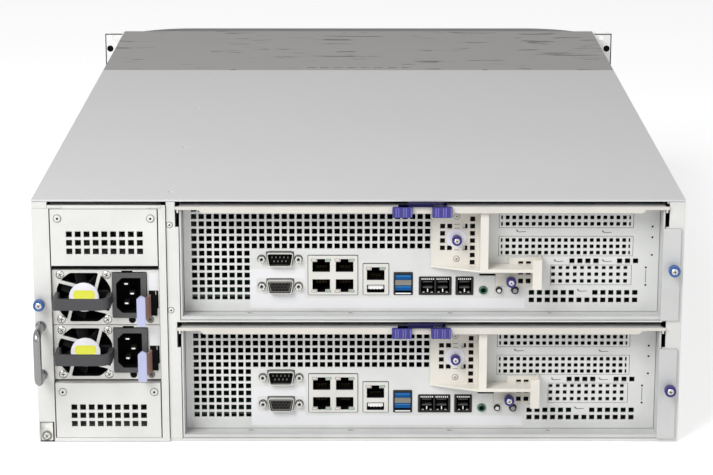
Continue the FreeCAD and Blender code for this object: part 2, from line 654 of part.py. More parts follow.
def bezel_grille():
    """Slotted grille behind the bezel's window."""
    x, z = bezel_window()
    slots = []
    pitch = (x[1] - x[0]) / GRILLE_SLOTS
    for i in range(GRILLE_SLOTS):
        left = x[0] + i * pitch + GRILLE_BAR / 2
        slots.append(rect_xz((left, left + pitch - GRILLE_BAR), widen(z, -GRILLE_BAR)))
    y = BODY_LENGTH + BEZEL_DEPTH - BEZEL_WALL - SEAT - GRILLE_SHEET
    return sheet_xz(rect_xz(widen(x, BEZEL_RIM / 3), widen(z, BEZEL_RIM / 3)), slots, y, GRILLE_SHEET)


# ---- power column --------------------------------------------------------------------------------------
def power_cage():
    """Slide-out sheet cage for two supplies, with the strip that carries its handle."""
    right = DIVIDER_LEFT - SEAT - SEAT / 2
    room_x = (COLUMN_LEFT, COLUMN_RIGHT)
    room_z = (COLUMN_FLOOR, COLUMN_CEILING)
    openings = [rect_xz(room_x, room_z), knob_hole(HANDLE_X, COLUMN_KNOB_RISE)]
    shoulder_x = COLUMN_LEFT - COLUMN_SHEET
    shoulder_z = COLUMN_FACE_TOP - COLUMN_SHOULDER_DROP
    corners = [(-HALF, GAP), (right, GAP), (right, COLUMN_FACE_TOP), (shoulder_x, COLUMN_FACE_TOP),
               (shoulder_x, shoulder_z), (-HALF, shoulder_z)]
    face = sheet_xz(wire([(x, 0, z) for x, z in corners]), openings, -COLUMN_FACE, COLUMN_FACE)
    depth = (-COLUMN_FACE / 2, COLUMN_LENGTH)
    outside = block(widen(room_x, COLUMN_SHEET), depth,
                    (COLUMN_FLOOR - COLUMN_SHEET + GAP, COLUMN_CEILING + COLUMN_SHEET))
    pieces = [face, outside.cut(block(room_x, depth, room_z))]
    shelf_x = widen(room_x, COLUMN_SHEET / 2)
    for z in (LOWER_SHELF, UPPER_SHELF):
        pieces.append(block(shelf_x, (SHELF_SETBACK, COLUMN_LENGTH), (z, z + COLUMN_SHEET)))
    return fuse(pieces)


def cage_handle():
    """Chrome D-handle: a bent rod with two round feet."""
    x = HANDLE_X
    radius = HANDLE_ROD / 2
    reach = radius - HANDLE_REACH
    bend = HANDLE_BEND
    seat = -COLUMN_FACE
    low, high = HANDLE_LOW, HANDLE_HIGH
    start = reach + bend
    corner = bend * (1 - math.sqrt(0.5))
    upper = Part.Arc(V(x, start, high), V(x, reach + corner, high - corner), V(x, reach, high - bend))
    lower = Part.Arc(V(x, reach, low + bend), V(x, reach + corner, low + corner), V(x, start, low))
    path = Part.Wire([
        Part.makeLine(V(x, seat, high), V(x, start, high)),
        upper.toShape(),
        Part.makeLine(V(x, reach, high - bend), V(x, reach, low + bend)),
        lower.toShape(),
        Part.makeLine(V(x, start, low), V(x, seat, low))])
    rod = path.makePipeShell([polygon_xz(x, high, radius, seat)], True, False)
    feet = [prism_y(x, z, HANDLE_FOOT[0], (seat - HANDLE_FOOT[1], seat)) for z in (low, high)]
    return fuse([rod] + feet)


def cage_thumbscrew():
    """Captive screw that holds the power column in the chassis."""
    return thumbscrew(HANDLE_X, COLUMN_KNOB_RISE, -COLUMN_FACE, KNOB_RADIUS)


def filler_panel(base):
    """Perforated blank with short flanges along its top and bottom."""
    x = widen((PSU_LEFT, PSU_LEFT + PSU_WIDTH), -FILLER_SIDE_GAP)
    z = (base, base + FILLER_HEIGHT)
    first = z[1] - FILLER_GRID_DROP
    rows = min(FILLER_ROWS, int((first - base - FILLER_HOLE) / FILLER_PITCH) + 1)
    holes = []
    for column in range(FILLER_COLUMNS):
        for row in range(rows):
            holes.append(square(PSU_LEFT + FILLER_GRID_FROM_LEFT + column * FILLER_PITCH,
                                first - row * FILLER_PITCH, FILLER_HOLE))
    front = -COLUMN_FACE
    face = sheet_xz(rect_xz(x, z), holes, front, FILLER_SHEET)
    flanges = [block(x, (front, FILLER_FLANGE), (z[0], z[0] + FILLER_SHEET)),
               block(x, (front, FILLER_FLANGE), (z[1] - FILLER_SHEET, z[1]))]
    return fuse([face] + flanges)


def filler_bases():
    """Base heights of the lower and the upper blank."""
    return COLUMN_FLOOR + SEAT, UPPER_SHELF + COLUMN_SHEET + FILLER_RAISE


def filler_screws():
    """Two screws in each blank."""
    left, right = FILLER_SCREW_INSETS
    rise = FILLER_HEIGHT - FILLER_SCREW_DROP
    return Part.makeCompound([screw_head(x, base + rise, -COLUMN_FACE, FILLER_SCREW_RADIUS)
                              for base in filler_bases()
                              for x in (PSU_LEFT + left, PSU_LEFT + PSU_WIDTH - right)])


def ground_terminal():
    """Earth plate with its screw, at the foot of the power column's strip."""
    x = -HALF + STRIP_WIDTH / 2
    face = -COLUMN_FACE - TERMINAL_SHEET
    plate = block(widen((x, x), TERMINAL_WIDTH / 2), (face, -COLUMN_FACE), TERMINAL_Z)
    head = prism_y(x, TERMINAL_SCREW_RISE, TERMINAL_SCREW_RADIUS, (face - TERMINAL_SCREW_HEAD, face))
    return fuse([plate, head])


# ---- power supplies ------------------------------------------------------------------------------------
def fan_centre(base):
    """The fan axis's X and Z in a supply that stands at this height."""
    return PSU_LEFT + FAN_FROM_LEFT, base + PSU_HEIGHT / 2


def inlet_spans(base):
    """The inlet body's X and Z spans."""
    x = PSU_LEFT + INLET_FROM_LEFT
    return (x, x + INLET_SIZE[0]), (base + INLET_RISE, base + INLET_RISE + INLET_SIZE[1])


def fan_bore(x, z, y):
    """The fan's bore from y[0] to y[1]: round, with flats where it meets the housing's walls."""
    flats = block(widen((x, x), FAN_FLATS[0]), y, widen((z, z), FAN_FLATS[1]))
    return rod_y(x, z, FAN_BORE, y).common(flats)


def psu_case(base):
    """Closed supply housing with a fan bore, a pinwheel finger guard and a pocket for the inlet."""
    front = PSU_RECESS
    body = block((PSU_LEFT, PSU_LEFT + PSU_WIDTH), (front, front + PSU_LENGTH), (base, base + PSU_HEIGHT))
    x, z = fan_centre(base)
    guard = (front, front + GUARD_SHEET)
    pieces = [rod_y(x, z, GUARD_HUB, guard)]
    for i in range(GUARD_SPOKES):
        middle = z - GUARD_SPOKE_OFFSET
        spoke = block((x, x + FAN_BORE), guard, widen((middle, middle), GUARD_SPOKE / 2))
        spoke.rotate(V(x, 0, z), V(0, 1, 0), -GUARD_SPOKE_TURN - 360.0 / GUARD_SPOKES * i)
        pieces.append(spoke)
    inlet_x, inlet_z = inlet_spans(base)
    pocket = block(widen(inlet_x, SEAT), (front, front + INLET_DEPTH), widen(inlet_z, SEAT))
    return fuse([body.cut(fan_bore(x, z, (front, front + FAN_DEPTH))).cut(pocket)] + pieces)


def psu_rotor(base):
    """Fan rotor: hub, stub shaft and pitched blades."""
    x, z = fan_centre(base)
    front = PSU_RECESS + 2 * GUARD_SHEET
    back = PSU_RECESS + FAN_DEPTH - SEAT
    rear = back - FAN_SHAFT
    pieces = [prism_y(x, z, FAN_HUB, (front, rear)), rod_y(x, z, SHANK_RADIUS, (rear, back))]
    root = FAN_HUB * math.cos(math.pi / 6)
    tip = FAN_FLATS[1] - FAN_TIP_GAP
    thickness, chord = FAN_BLADE
    for i in range(FAN_BLADES):
        blade = Part.makeBox(tip - root, thickness, chord, V(root, -thickness / 2, -chord / 2))
        blade.rotate(V(0, 0, 0), V(1, 0, 0), FAN_BLADE_PITCH)
        blade.rotate(V(0, 0, 0), V(0, 1, 0), i * 360.0 / FAN_BLADES)
        blade.translate(V(x, (front + rear) / 2, z))
        pieces.append(blade)
    return fuse(pieces)


def psu_inlet(base):
    """Three-pin mains inlet set into the housing."""
    x, z = inlet_spans(base)
    front = PSU_RECESS - INLET_STAND
    body = block(x, (front, PSU_RECESS + INLET_DEPTH - SEAT), z)
    left = x[0] + INLET_MOUTH_LEFT
    low = z[0] + (INLET_SIZE[1] - INLET_MOUTH[1]) / 2
    depth = (front, front + INLET_MOUTH_DEPTH)
    mouth = block((left, left + INLET_MOUTH[0]), depth, (low, low + INLET_MOUTH[1]))
    mid_x = left + INLET_MOUTH[0] / 2
    mid_z = low + INLET_MOUTH[1] / 2
    pins = []
    for side in (-1, 0, 1):
        pin_x = mid_x + INLET_PIN_OFFSET[0] * (1 - 2 * abs(side))
        pin_z = mid_z + INLET_PIN_OFFSET[1] * side
        pins.append(block(widen((pin_x, pin_x), INLET_PIN[0] / 2), (front + INLET_PIN_SINK, depth[1] + SEAT),
                          widen((pin_z, pin_z), INLET_PIN[1] / 2)))
    return fuse([body.cut(mouth)] + pins)


def psu_grip(base):
    """Moulded carrying handle in front of the fan."""
    x, z = fan_centre(base)
    half = INLET_FROM_LEFT - FAN_FROM_LEFT - SEAT
    low = z - PSU_GRIP_HEIGHT / 2
    seat = PSU_RECESS - SEAT / 3
    reach = PSU_RECESS - PSU_GRIP_REACH
    t = PSU_GRIP_THICKNESS
    left, right = x - half, x + half
    leg = PSU_GRIP_LEG
    corner = leg / 3
    bar = reach + t
    outer = [(left, seat), (left, bar), (left + t, reach), (right - 2 * t, reach), (right, bar + t),
             (right, seat)]
    inner = [(right - leg, seat), (right - leg, bar + t + corner), (right - 2 * t - corner, bar),
             (left + t + corner, bar), (left + leg, bar + corner), (left + leg, seat)]
    face = Part.Face(wire([(px, py, low) for px, py in outer + inner]))
    return face.extrude(V(0, 0, PSU_GRIP_HEIGHT))


def psu_latch(base):
    """Release tab beside the inlet: a thumb pad on a bent root that lies on the housing's face."""
    sheet = LATCH_SHEET
    side = inlet_spans(base)[0][1]
    right = PSU_LEFT + PSU_WIDTH - sheet
    root = side + LATCH_ROOT
    tip = PSU_RECESS - LATCH_REACH
    face = PSU_RECESS - SEAT
    knee = face - 2 * sheet
    pad_left = side - LATCH_WIDTH
    points = [(pad_left, tip), (side, tip), (root + sheet, knee), (right, face - sheet), (right, face),
              (root, face), (root, knee), (side - LATCH_ROOT, tip + sheet), (pad_left, tip + sheet)]
    low = base + LATCH_RISE
    return Part.Face(wire([(px, py, low) for px, py in points])).extrude(V(0, 0, LATCH_HEIGHT))


def psu_screws(base):
    """Four fan screws on the housing's face."""
    x, z = fan_centre(base)
    half = FAN_SCREW_PITCH / 2
    return Part.makeCompound([screw_head(x + sx * half, z + sz * half, PSU_RECESS, FAN_SCREW_RADIUS)
                              for sx in (-1, 1) for sz in (-1, 1)])


# ---- canister ------------------------------------------------------------------------------------------
def side_wall_points():
    """The tray's side wall in (y, z): lower under the lid's rear rail."""
    low_top = RAIL_TOP - TRAY_SHEET - SEAT
    high_top = LID_UNDERSIDE - SEAT
    step = LID_SETBACK + TRAY_SHEET + SEAT
    return [(TRAY_FRONT_EDGE, 0), (CANISTER_LENGTH, 0), (CANISTER_LENGTH, high_top), (step, high_top),
            (step, low_top), (TRAY_FRONT_EDGE, low_top)]


def tray():
    """Folded tray: hemmed floor, side walls, a screw flange at the right and board standoffs."""
    depth = (TRAY_FRONT_EDGE, CANISTER_LENGTH)
    pieces = [block((TRAY_LEFT, TRAY_RIGHT), depth, (0, TRAY_SHEET)),
              block((TRAY_LEFT, TRAY_RIGHT), (TRAY_FRONT_EDGE, TRAY_HEM[0]), (0, TRAY_HEM[1]))]
    pivot = [(LEVER_PIVOT[0], LEVER_PIVOT[1], LEVER_PIN + SEAT)]
    for x in (TRAY_LEFT, TRAY_RIGHT - TRAY_SHEET):
        pieces.append(sheet_yz(side_wall_points(), x, TRAY_SHEET, pivot))
    outer = TRAY_RIGHT + FLANGE_WIDTH
    front = -GAP - TRAY_SHEET
    pieces.append(sheet_xz(rect_xz((TRAY_RIGHT - TRAY_SHEET, outer), (0, FLANGE_TOP)),
                           [knob_hole(outer - FLANGE_KNOB_INSET, FLANGE_KNOB_RISE)], front, TRAY_SHEET))
    pieces.append(block((TRAY_RIGHT - TRAY_SHEET, TRAY_RIGHT), (front, TRAY_HEM[1]), (0, FLANGE_TOP)))
    half = STANDOFF_SIDE / 2
    post_z = (TRAY_SHEET / 2, BOARD_RISE - SEAT)
    for x in (PANEL_LEFT + STANDOFF_INSET, (PANEL_LEFT + PANEL_RIGHT) / 2, PANEL_RIGHT - STANDOFF_INSET):
        for y in (PANEL_RECESS + STANDOFF_FIRST, BOARD_LENGTH / 2, BOARD_LENGTH - STANDOFF_INSET):
            pieces.append(block(widen((x, x), half), widen((y, y), half), post_z))
    return fuse(pieces)


def lid():
    """Canister lid whose rear edge steps down to a rail under the lever."""
    side = (TRAY_LEFT, TRAY_RIGHT)
    plate = block(side, (LID_SETBACK, CANISTER_LENGTH), (LID_UNDERSIDE, CANISTER_HEIGHT))
    step = block(side, (LID_SETBACK, LID_SETBACK + TRAY_SHEET), (RAIL_TOP - TRAY_SHEET, CANISTER_HEIGHT))
    rail = block(side, (TRAY_FRONT_EDGE, LID_SETBACK + TRAY_SHEET), (RAIL_TOP - TRAY_SHEET, RAIL_TOP))
    return fuse([plate, step, rail])


def vent_holes():
    """Rows of vent slots: full-width rows over a narrow block of single slots."""
    first = CANISTER_HEIGHT - VENT_DROP
    rows = int((first - VENT_FLOOR) / VENT_PITCH_Z) + 1
    wide_rows = int((first - NETWORK_TOP) / VENT_PITCH_Z)
    holes = []
    for row in range(rows):
        wide = row < wide_rows
        length = VENT_SLOT_LENGTH if wide else VENT_LOW_LENGTH
        z = first - row * VENT_PITCH_Z
        for slot in range(VENT_SLOTS if wide else 1):
            left = VENT_LEFT + slot * VENT_PITCH_X
            holes.append(rect_xz((left, left + length), widen((z, z), VENT_HOLE / 2)))
    return holes


def shell_outline(x, z, margin):
    """The D-shaped outline of a display or serial connector."""
    w = SHELL_SIZE[0] / 2 + margin
    h = SHELL_SIZE[1] / 2 + margin
    low_w = w - SHELL_TAPER
    return wire([(x - w, 0, z + h), (x + w, 0, z + h), (x + low_w, 0, z - h), (x - low_w, 0, z - h)])


def connector_spans():
    """(x span, z span) of every block connector that comes through the panel."""
    return [(NETWORK_X, (PORT_RISE, NETWORK_TOP)), (COMBO_X, (PORT_RISE, COMBO_TOP)),
            (USB_X, (PORT_RISE, USB_TOP)), (STORAGE_PAIR_X, (PORT_RISE, STORAGE_TOP)),
            (STORAGE_SINGLE_X, (PORT_RISE, STORAGE_TOP))]


def rear_panel():
    """Perforated rear panel with the connector cut-outs and the slot windows."""
    holes = vent_holes()
    for z in DISPLAY_RISES:
        holes.append(shell_outline(DISPLAY_CENTRE_X, z, SEAT))
    for x, z in connector_spans():
        holes.append(rect_xz(widen(x, SEAT), widen(z, SEAT)))
    for x, radius in ((AUDIO_X, AUDIO_RADIUS), (FN_X, FN_RADIUS), (POWER_X, POWER_RADIUS)):
        holes.append(polygon_xz(x, SMALL_ROW_RISE, radius + SEAT))
    for x, z in slot_spans():
        holes.append(rect_xz(widen(x, SEAT), widen(z, SEAT)))
    for z, x in SIDE_ROWS:
        holes.append(rect_xz(x, widen((z, z), SIDE_ROW_HEIGHT / 2)))
    holes.append(rect_xz(*CARD_EDGE_SLOT))
    holes += [knob_hole(x, z) for x, z in BRACKET_KNOBS]
    outline = rect_xz((PANEL_LEFT, PANEL_RIGHT), (TRAY_SHEET + SEAT, PANEL_TOP))
    return sheet_xz(outline, holes, PANEL_RECESS, PANEL_SHEET)


def slot_spans():
    """(x span, z span) of the three expansion-slot blanks."""
    return [(SLOT_COVER_X, SLOT_1_Z), (SLOT_COVER_X, SLOT_2_Z), (SLOT_3_X, SLOT_3_Z)]


def slot_covers():
    """Blanks in the slot windows, each with rows of slots and a return flange."""
    covers = []
    for x, z in slot_spans():
        rows = int((z[1] - z[0]) / COVER_SLOT_PITCH)
        holes = []
        third = (x[1] - x[0] - 2 * COVER_MARGIN) / 3
        first = (z[0] + z[1]) / 2 - (rows - 1) * COVER_SLOT_PITCH / 2
        for row in range(rows):
            centre = first + row * COVER_SLOT_PITCH
            for place in range(3):
                left = x[0] + COVER_MARGIN + place * third
                holes.append(rect_xz(widen((left, left + third), -COVER_SLOT_BAR / 2),
                                     widen((centre, centre), COVER_SLOT / 2)))
        face = sheet_xz(rect_xz(x, z), holes, PANEL_RECESS, PANEL_SHEET)
        flange = block(x, (PANEL_RECESS, PANEL_RECESS + COVER_FLANGE), (z[1] - PANEL_SHEET, z[1]))
        covers.append(fuse([face, flange]))
    return Part.makeCompound(covers)


def bracket_plate(top):
    """The bracket's perforated plate, with a three-cornered gusset along its lower edge."""
    t = BRACKET_SHEET
    ledge = BRACKET_LEDGE
    x = (BRACKET_LEFT, BEAM_X[0] + t)
    first = top - BRACKET_HOLE_TOP
    holes = [knob_hole(*BRACKET_KNOBS[0])]
    for inset, rows in BRACKET_HOLE_ROWS.items():
        for row in rows:
            z = first - row * BRACKET_HOLE_PITCH
            if z > ledge + BRACKET_HOLE_MARGIN:
                holes.append(square(x[0] + inset, z, BRACKET_HOLE))
    plate = sheet_xz(rect_xz(x, (ledge - t, top)), holes, BRACKET_BACK - t, t)
    corners = [(x[0], BRACKET_BACK), (x[1], BRACKET_BACK), (x[1], BRACKET_FRONT), (x[0], BRACKET_BACK - t)]
    gusset = Part.Face(wire([(px, py, ledge - t) for px, py in corners])).extrude(V(0, 0, t))
    return plate.fuse(gusset)


def bracket_tab():
    """The bracket's screw tab, with its upper left corner cut away."""
    tab_x, tab_z = BRACKET_TAB_X, BRACKET_TAB_Z
    right = BRACKET_POST_X[1]
    inner = tab_x[0] + BRACKET_TAB_STEP[0]
    mid = tab_z[0] + (tab_z[1] - tab_z[0]) * BRACKET_TAB_STEP[1]
    outline = wire([(tab_x[0], 0, tab_z[0]), (right, 0, tab_z[0]), (right, 0, tab_z[1]), (inner, 0, tab_z[1]),
                    (inner, 0, mid), (tab_x[0], 0, mid)])
    holes = [knob_hole(*BRACKET_KNOBS[1])]
    for row in range(TAB_HOLE_ROWS):
        z = tab_z[1] - TAB_HOLE_TOP - row * TAB_HOLE_PITCH
        holes += [square(tab_x[1] - inset, z, BRACKET_HOLE) for inset in TAB_HOLE_COLUMNS]
    return sheet_xz(outline, holes, BRACKET_BACK - BRACKET_SHEET, BRACKET_SHEET)


def riser_bracket():
    """Bent bracket that carries the riser: a perforated plate, a beam, a ledge, a post and a screw tab."""
    t = BRACKET_SHEET
    front = (BRACKET_FRONT, BRACKET_FRONT + t)
    full = (BRACKET_FRONT, BRACKET_BACK)
    top = RAIL_TOP - TRAY_SHEET - SEAT
    ledge = BRACKET_LEDGE
    post_x = BRACKET_POST_X
    return fuse([
        bracket_plate(top),
        bracket_tab(),
        block((BEAM_X[0], BEAM_X[0] + t), full, (ledge - t, top)),
        block(BEAM_X, front, (ledge - t, top)),
        block((BEAM_X[0], post_x[1]), full, (ledge, ledge + t)),
        block((BEAM_X[0], post_x[0] + t), front, (ledge - t, ledge + t)),
        block(post_x, front, BRACKET_POST_Z),
        block((post_x[1] - t, post_x[1]), full, BRACKET_POST_Z)])


def bracket_thumbscrews():
    """Two captive screws that hold the riser bracket to the panel."""
    seat = BRACKET_BACK - BRACKET_SHEET
    return Part.makeCompound([thumbscrew(x, z, seat, BRACKET_KNOB_RADIUS) for x, z in BRACKET_KNOBS])


def mainboard():
    """Controller board."""
    x = widen((PANEL_LEFT, PANEL_RIGHT), -BOARD_MARGIN)
    y = (PANEL_RECESS + PANEL_SHEET + GAP, BOARD_LENGTH)
    return block(x, y, (BOARD_RISE, BOARD_RISE + BOARD_SHEET))


def socket(x, z, depth):
    """A rectangular socket to cut from a connector's face."""
    front = PANEL_RECESS - PORT_STAND
    return block(x, (front, front + depth), z)


def network_jack(x, z, up):
    """A modular-jack opening with its catch notch above or below."""
    low = z if up else z + JACK_NOTCH[1]
    top = low + JACK_HEIGHT
    middle = x + JACK_WIDTH / 2
    notch = socket(widen((middle, middle), JACK_NOTCH[0] / 2),
                   (top, top + JACK_NOTCH[1]) if up else (z, low), JACK_BORE)
    return socket((x, x + JACK_WIDTH), (low, top), JACK_BORE).fuse(notch)


def connector_body(x, z):
    """A plain connector body from two spans."""
    return block(x, (PANEL_RECESS - PORT_STAND, PANEL_RECESS + PORT_DEPTH), z)


def usb_slot(x, z):
    """A USB opening that leaves its tongue standing."""
    cut = socket(x, (z, z + USB_OPENING), USB_DEPTH)
    tongue = socket(widen(x, -2 * USB_RIM), (z + USB_TONGUE[0], z + USB_TONGUE[1]), USB_DEPTH)
    return cut.cut(tongue)


def display_stack():
    """Serial connector over a display connector, on one body."""
    x = DISPLAY_CENTRE_X
    back = PANEL_RECESS + PANEL_SHEET + SEAT
    stand = PANEL_RECESS - SHELL_STAND
    pieces = [block(widen((x, x), SHELL_BACK[0] / 2), (back, back + PORT_DEPTH / 2),
                    (PORT_RISE, DISPLAY_RISES[1] + SHELL_BACK[1]))]
    for z in DISPLAY_RISES:
        shell = sheet_xz(shell_outline(x, z, 0), [], stand, back + PANEL_SHEET - stand)
        pieces.append(shell.cut(sheet_xz(shell_outline(x, z, -SHELL_SHEET), [], stand, SHELL_STAND)))
    return fuse(pieces)


def jack_screws():
    """Hexagonal jack screws seated on the panel beside each shell."""
    y = PANEL_RECESS - JACK_SCREW_STAND
    height = JACK_SCREW_STAND - SEAT / 3
    return [sheet_xz(polygon_xz(DISPLAY_CENTRE_X + offset, z, JACK_SCREW_RADIUS, sides=6), [], y, height)
            for z in DISPLAY_RISES for offset in (-JACK_SCREW_OFFSET, JACK_SCREW_OFFSET)]


def network_block():
    """Two by two modular jacks in one block."""
    body = connector_body(NETWORK_X, (PORT_RISE, NETWORK_TOP))
    for x in (NETWORK_X[0] + JACK_INSET, NETWORK_X[1] - JACK_INSET - JACK_WIDTH):
        body = body.cut(network_jack(x, PORT_RISE + JACK_FLOOR, False))
        body = body.cut(network_jack(x, NETWORK_TOP - JACK_DROP, True))
    return body


def combo_blocks():
    """A modular jack's body standing on a USB socket's body."""
    left = COMBO_X[0] + COMBO_JACK_LEFT
    jack = connector_body(COMBO_X, (COMBO_USB_TOP, COMBO_TOP))
    usb = connector_body(COMBO_X, (PORT_RISE, COMBO_USB_TOP))
    return [jack.cut(network_jack(left, COMBO_TOP - JACK_DROP, True)),
            usb.cut(usb_slot((left, left + JACK_WIDTH), PORT_RISE + COMBO_USB_FLOOR))]


def usb_block():
    """Two USB sockets, one over the other."""
    body = connector_body(USB_X, (PORT_RISE, USB_TOP))
    for floor in USB_FLOORS:
        body = body.cut(usb_slot(widen(USB_X, -USB_RIM), PORT_RISE + floor))
    return body


def storage_block(x, walls):
    """A storage connector's shell round its socket, with the shell's wall at each side."""
    body = connector_body(x, (PORT_RISE, STORAGE_TOP))
    mouth_x = (x[0] + walls[0], x[1] - walls[1])
    return body.cut(socket(mouth_x, widen((PORT_RISE, STORAGE_TOP), -STORAGE_WALL[1]), JACK_BORE))


def storage_blocks():
    """Three storage connectors: two side by side that share their middle wall, and one apart."""
    wall = STORAGE_WALL[0]
    low, high = STORAGE_PAIR_X
    middle = (low + high) / 2
    return [storage_block((low, middle), (wall, wall / 2)), storage_block((middle, high), (wall / 2, wall)),
            storage_block(STORAGE_SINGLE_X, (wall, wall))]


def audio_jack():
    """A round jack with its body behind the panel."""
    front = PANEL_RECESS - AUDIO_STAND
    back = PANEL_RECESS + PANEL_SHEET + SEAT
    width, depth, rise = AUDIO_BODY
    z = SMALL_ROW_RISE
    body = block(widen((AUDIO_X, AUDIO_X), width / 2), (back, PANEL_RECESS + depth), (PORT_RISE, z + rise))
    barrel = prism_y(AUDIO_X, z, AUDIO_RADIUS, (front, back + PANEL_SHEET))
    bore = prism_y(AUDIO_X, z, AUDIO_BORE, (front, PANEL_RECESS + depth / 2))
    return fuse([barrel, body]).cut(bore)


def ports():
    """Every connector on the board's rear edge, each a separate solid."""
    return Part.makeCompound([display_stack(), network_block(), usb_block(), audio_jack()] + combo_blocks()
                             + storage_blocks() + jack_screws())


def push_button(x, radius):
    """A button with a collar behind the panel."""
    collar_y = PANEL_RECESS + PANEL_SHEET + SEAT
    stem = prism_y(x, SMALL_ROW_RISE, radius, (PANEL_RECESS - BUTTON_STAND, collar_y + BUTTON_STEM))
    rim, thickness = BUTTON_COLLAR
    return fuse([stem, prism_y(x, SMALL_ROW_RISE, radius + rim, (collar_y, collar_y + thickness))])


# ---- lever ---------------------------------------------------------------------------------------------
def lever():
    """Ejector lever: a lipped bar across the canister with an arm and a pivot pin at each end."""
    left = BAY_LEFT - LEVER_OVERHANG
    right = BAY_RIGHT + LEVER_OVERHANG
    low = RAIL_TOP - LEVER_BAR
    lip = low - LEVER_LIP
    inset = LEVER_LIP_INSET
    slope = inset + LEVER_LIP_RUN
    bar = wire([(left, 0, RAIL_TOP), (left, 0, low), (left + inset, 0, low), (left + slope, 0, lip),
                (right - slope, 0, lip), (right - inset, 0, low), (right, 0, low), (right, 0, RAIL_TOP)])
    pieces = [sheet_xz(bar, [], LEVER_FRONT, LEVER_SHEET)]
    y, z = LEVER_PIVOT
    boss = 2 * LEVER_PIN
    arm = [(LEVER_FRONT, RAIL_TOP), (LEVER_FRONT, low - LEVER_PIN), (y - boss, z - boss), (y, z - boss),
           (y + boss, z), (y, z + boss), (y - 2 * boss, z + boss)]
    sheet = LEVER_SHEET
    reach = TRAY_SHEET + LEVER_PIN_END
    for arm_x, pin in ((TRAY_LEFT - SEAT - sheet, (TRAY_LEFT - SEAT - sheet, TRAY_LEFT + reach)),
                       (TRAY_RIGHT + SEAT, (TRAY_RIGHT - reach, TRAY_RIGHT + SEAT + sheet))):
        pieces.append(sheet_yz(arm, arm_x, sheet))
        pieces.append(rod_x(y, z, LEVER_PIN, pin))
    return fuse(pieces)


def latch(side):
    """A finger pad hooked over the lever bar, with a tongue that lies over the other pad's."""
    near = LEVER_FRONT - SEAT
    outer = near - PAD_DEPTH
    hook_y = outer + PAD_HOOK_SETBACK
    seat = RAIL_TOP + SEAT
    middle = (PAD_CENTRES[0] + PAD_CENTRES[1]) / 2
    if side < 0:
        x = widen((PAD_CENTRES[0], PAD_CENTRES[0]), PAD_WIDTH / 2)
        level = seat
        tongue_x = (x[0] + PAD_HOOK_INSET, middle + TONGUE_REACHES[0])
        hook_x = (x[0] + PAD_HOOK_INSET, x[1] - PAD_TRAVEL)
    else:
        x = widen((PAD_CENTRES[1], PAD_CENTRES[1]), PAD_WIDTH / 2)
        level = seat + TONGUE + SEAT
        tongue_x = (middle - TONGUE_REACHES[1], x[1] - PAD_HOOK_INSET)
        hook_x = (x[1] - PAD_HOOK_INSET - 2 * TONGUE, x[1] - PAD_HOOK_INSET)
    top = level + TONGUE
    pad = block(x, (outer, near), (seat - PAD_HEIGHT, seat))
    hook = block(hook_x, (hook_y, near), (RAIL_TOP, top))
    return fuse([pad, hook, block(tongue_x, (hook_y, -SEAT), (level, top))])


# ---- output --------------------------------------------------------------------------------------------
def canister_nodes(letter):
    """All pieces of one canister, raised to its bay."""
    pieces = {
        "tray": tray(), "lid": lid(), "rear_panel": rear_panel(), "slot_covers": slot_covers(),
        "riser_bracket": riser_bracket(), "bracket_thumbscrews": bracket_thumbscrews(),
        "mainboard": mainboard(), "ports": ports(), "lever": lever(), "latch_left": latch(-1),
        "latch_right": latch(1), "power_button": push_button(POWER_X, POWER_RADIUS),
        "function_button": push_button(FN_X, FN_RADIUS),
        "flange_thumbscrew": thumbscrew(TRAY_RIGHT + FLANGE_WIDTH - FLANGE_KNOB_INSET, FLANGE_KNOB_RISE,
                                        -GAP - TRAY_SHEET, KNOB_RADIUS),
    }
    lift = V(0, 0, CANISTER_BASE[letter])
    nodes = {}
    for name, shape in pieces.items():
        shape.translate(lift)
        nodes["canister_" + letter + "_" + name] = shape
    return nodes


def psu_nodes(number):
    """All pieces of one power supply."""
    base = PSU_BASE[number]
    prefix = "psu_" + str(number) + "_"
    makers = {"case": psu_case, "rotor": psu_rotor, "inlet": psu_inlet, "grip": psu_grip, "latch": psu_latch,
              "screws": psu_screws}
    return {prefix + name: make(base) for name, make in makers.items()}


def all_nodes():
    """Node name to shape, for the whole server."""
    low, high = filler_bases()
    nodes = {
        "chassis_shell": chassis_shell(),
        "bay_divider": bay_divider(),
        "top_cover_rear": top_cover_rear(),
        "top_cover_front": top_cover_front(),
        "rack_ear_left": rack_ear_left(),
        "rack_ear_right": rack_ear_right(),
        "drive_cage": drive_cage(),
        "drive_carriers": drive_carriers(),
        "midplane_board": midplane_board(),
        "chassis_screws": chassis_screws(),
        "bezel_frame": bezel_frame(),
        "bezel_grille": bezel_grille(),
        "power_cage": power_cage(),
        "cage_handle": cage_handle(),
        "cage_thumbscrew": cage_thumbscrew(),
        "filler_panel_lower": filler_panel(low),
        "filler_panel_upper": filler_panel(high),
        "filler_screws": filler_screws(),
        "ground_terminal": ground_terminal(),
    }
    for number in PSU_BASE:
        nodes.update(psu_nodes(number))
    for letter in CANISTER_BASE:
        nodes.update(canister_nodes(letter))
    return nodes


def main():
    """Write one STEP file per node."""
    os.makedirs("parts", exist_ok=True)
    for name, shape in all_nodes().items():
        shape.translate(V(0, REAR_Y, 0))
        shape.exportStep("parts/" + name + ".step")
        print(name, len(shape.Solids), "solids, valid" if shape.isValid() else "solids, INVALID")


main()
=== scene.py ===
"""Looks of the four-unit dual-controller storage server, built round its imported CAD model."""

import json
import math

import bmesh
import bpy
from mathutils import Matrix, Vector


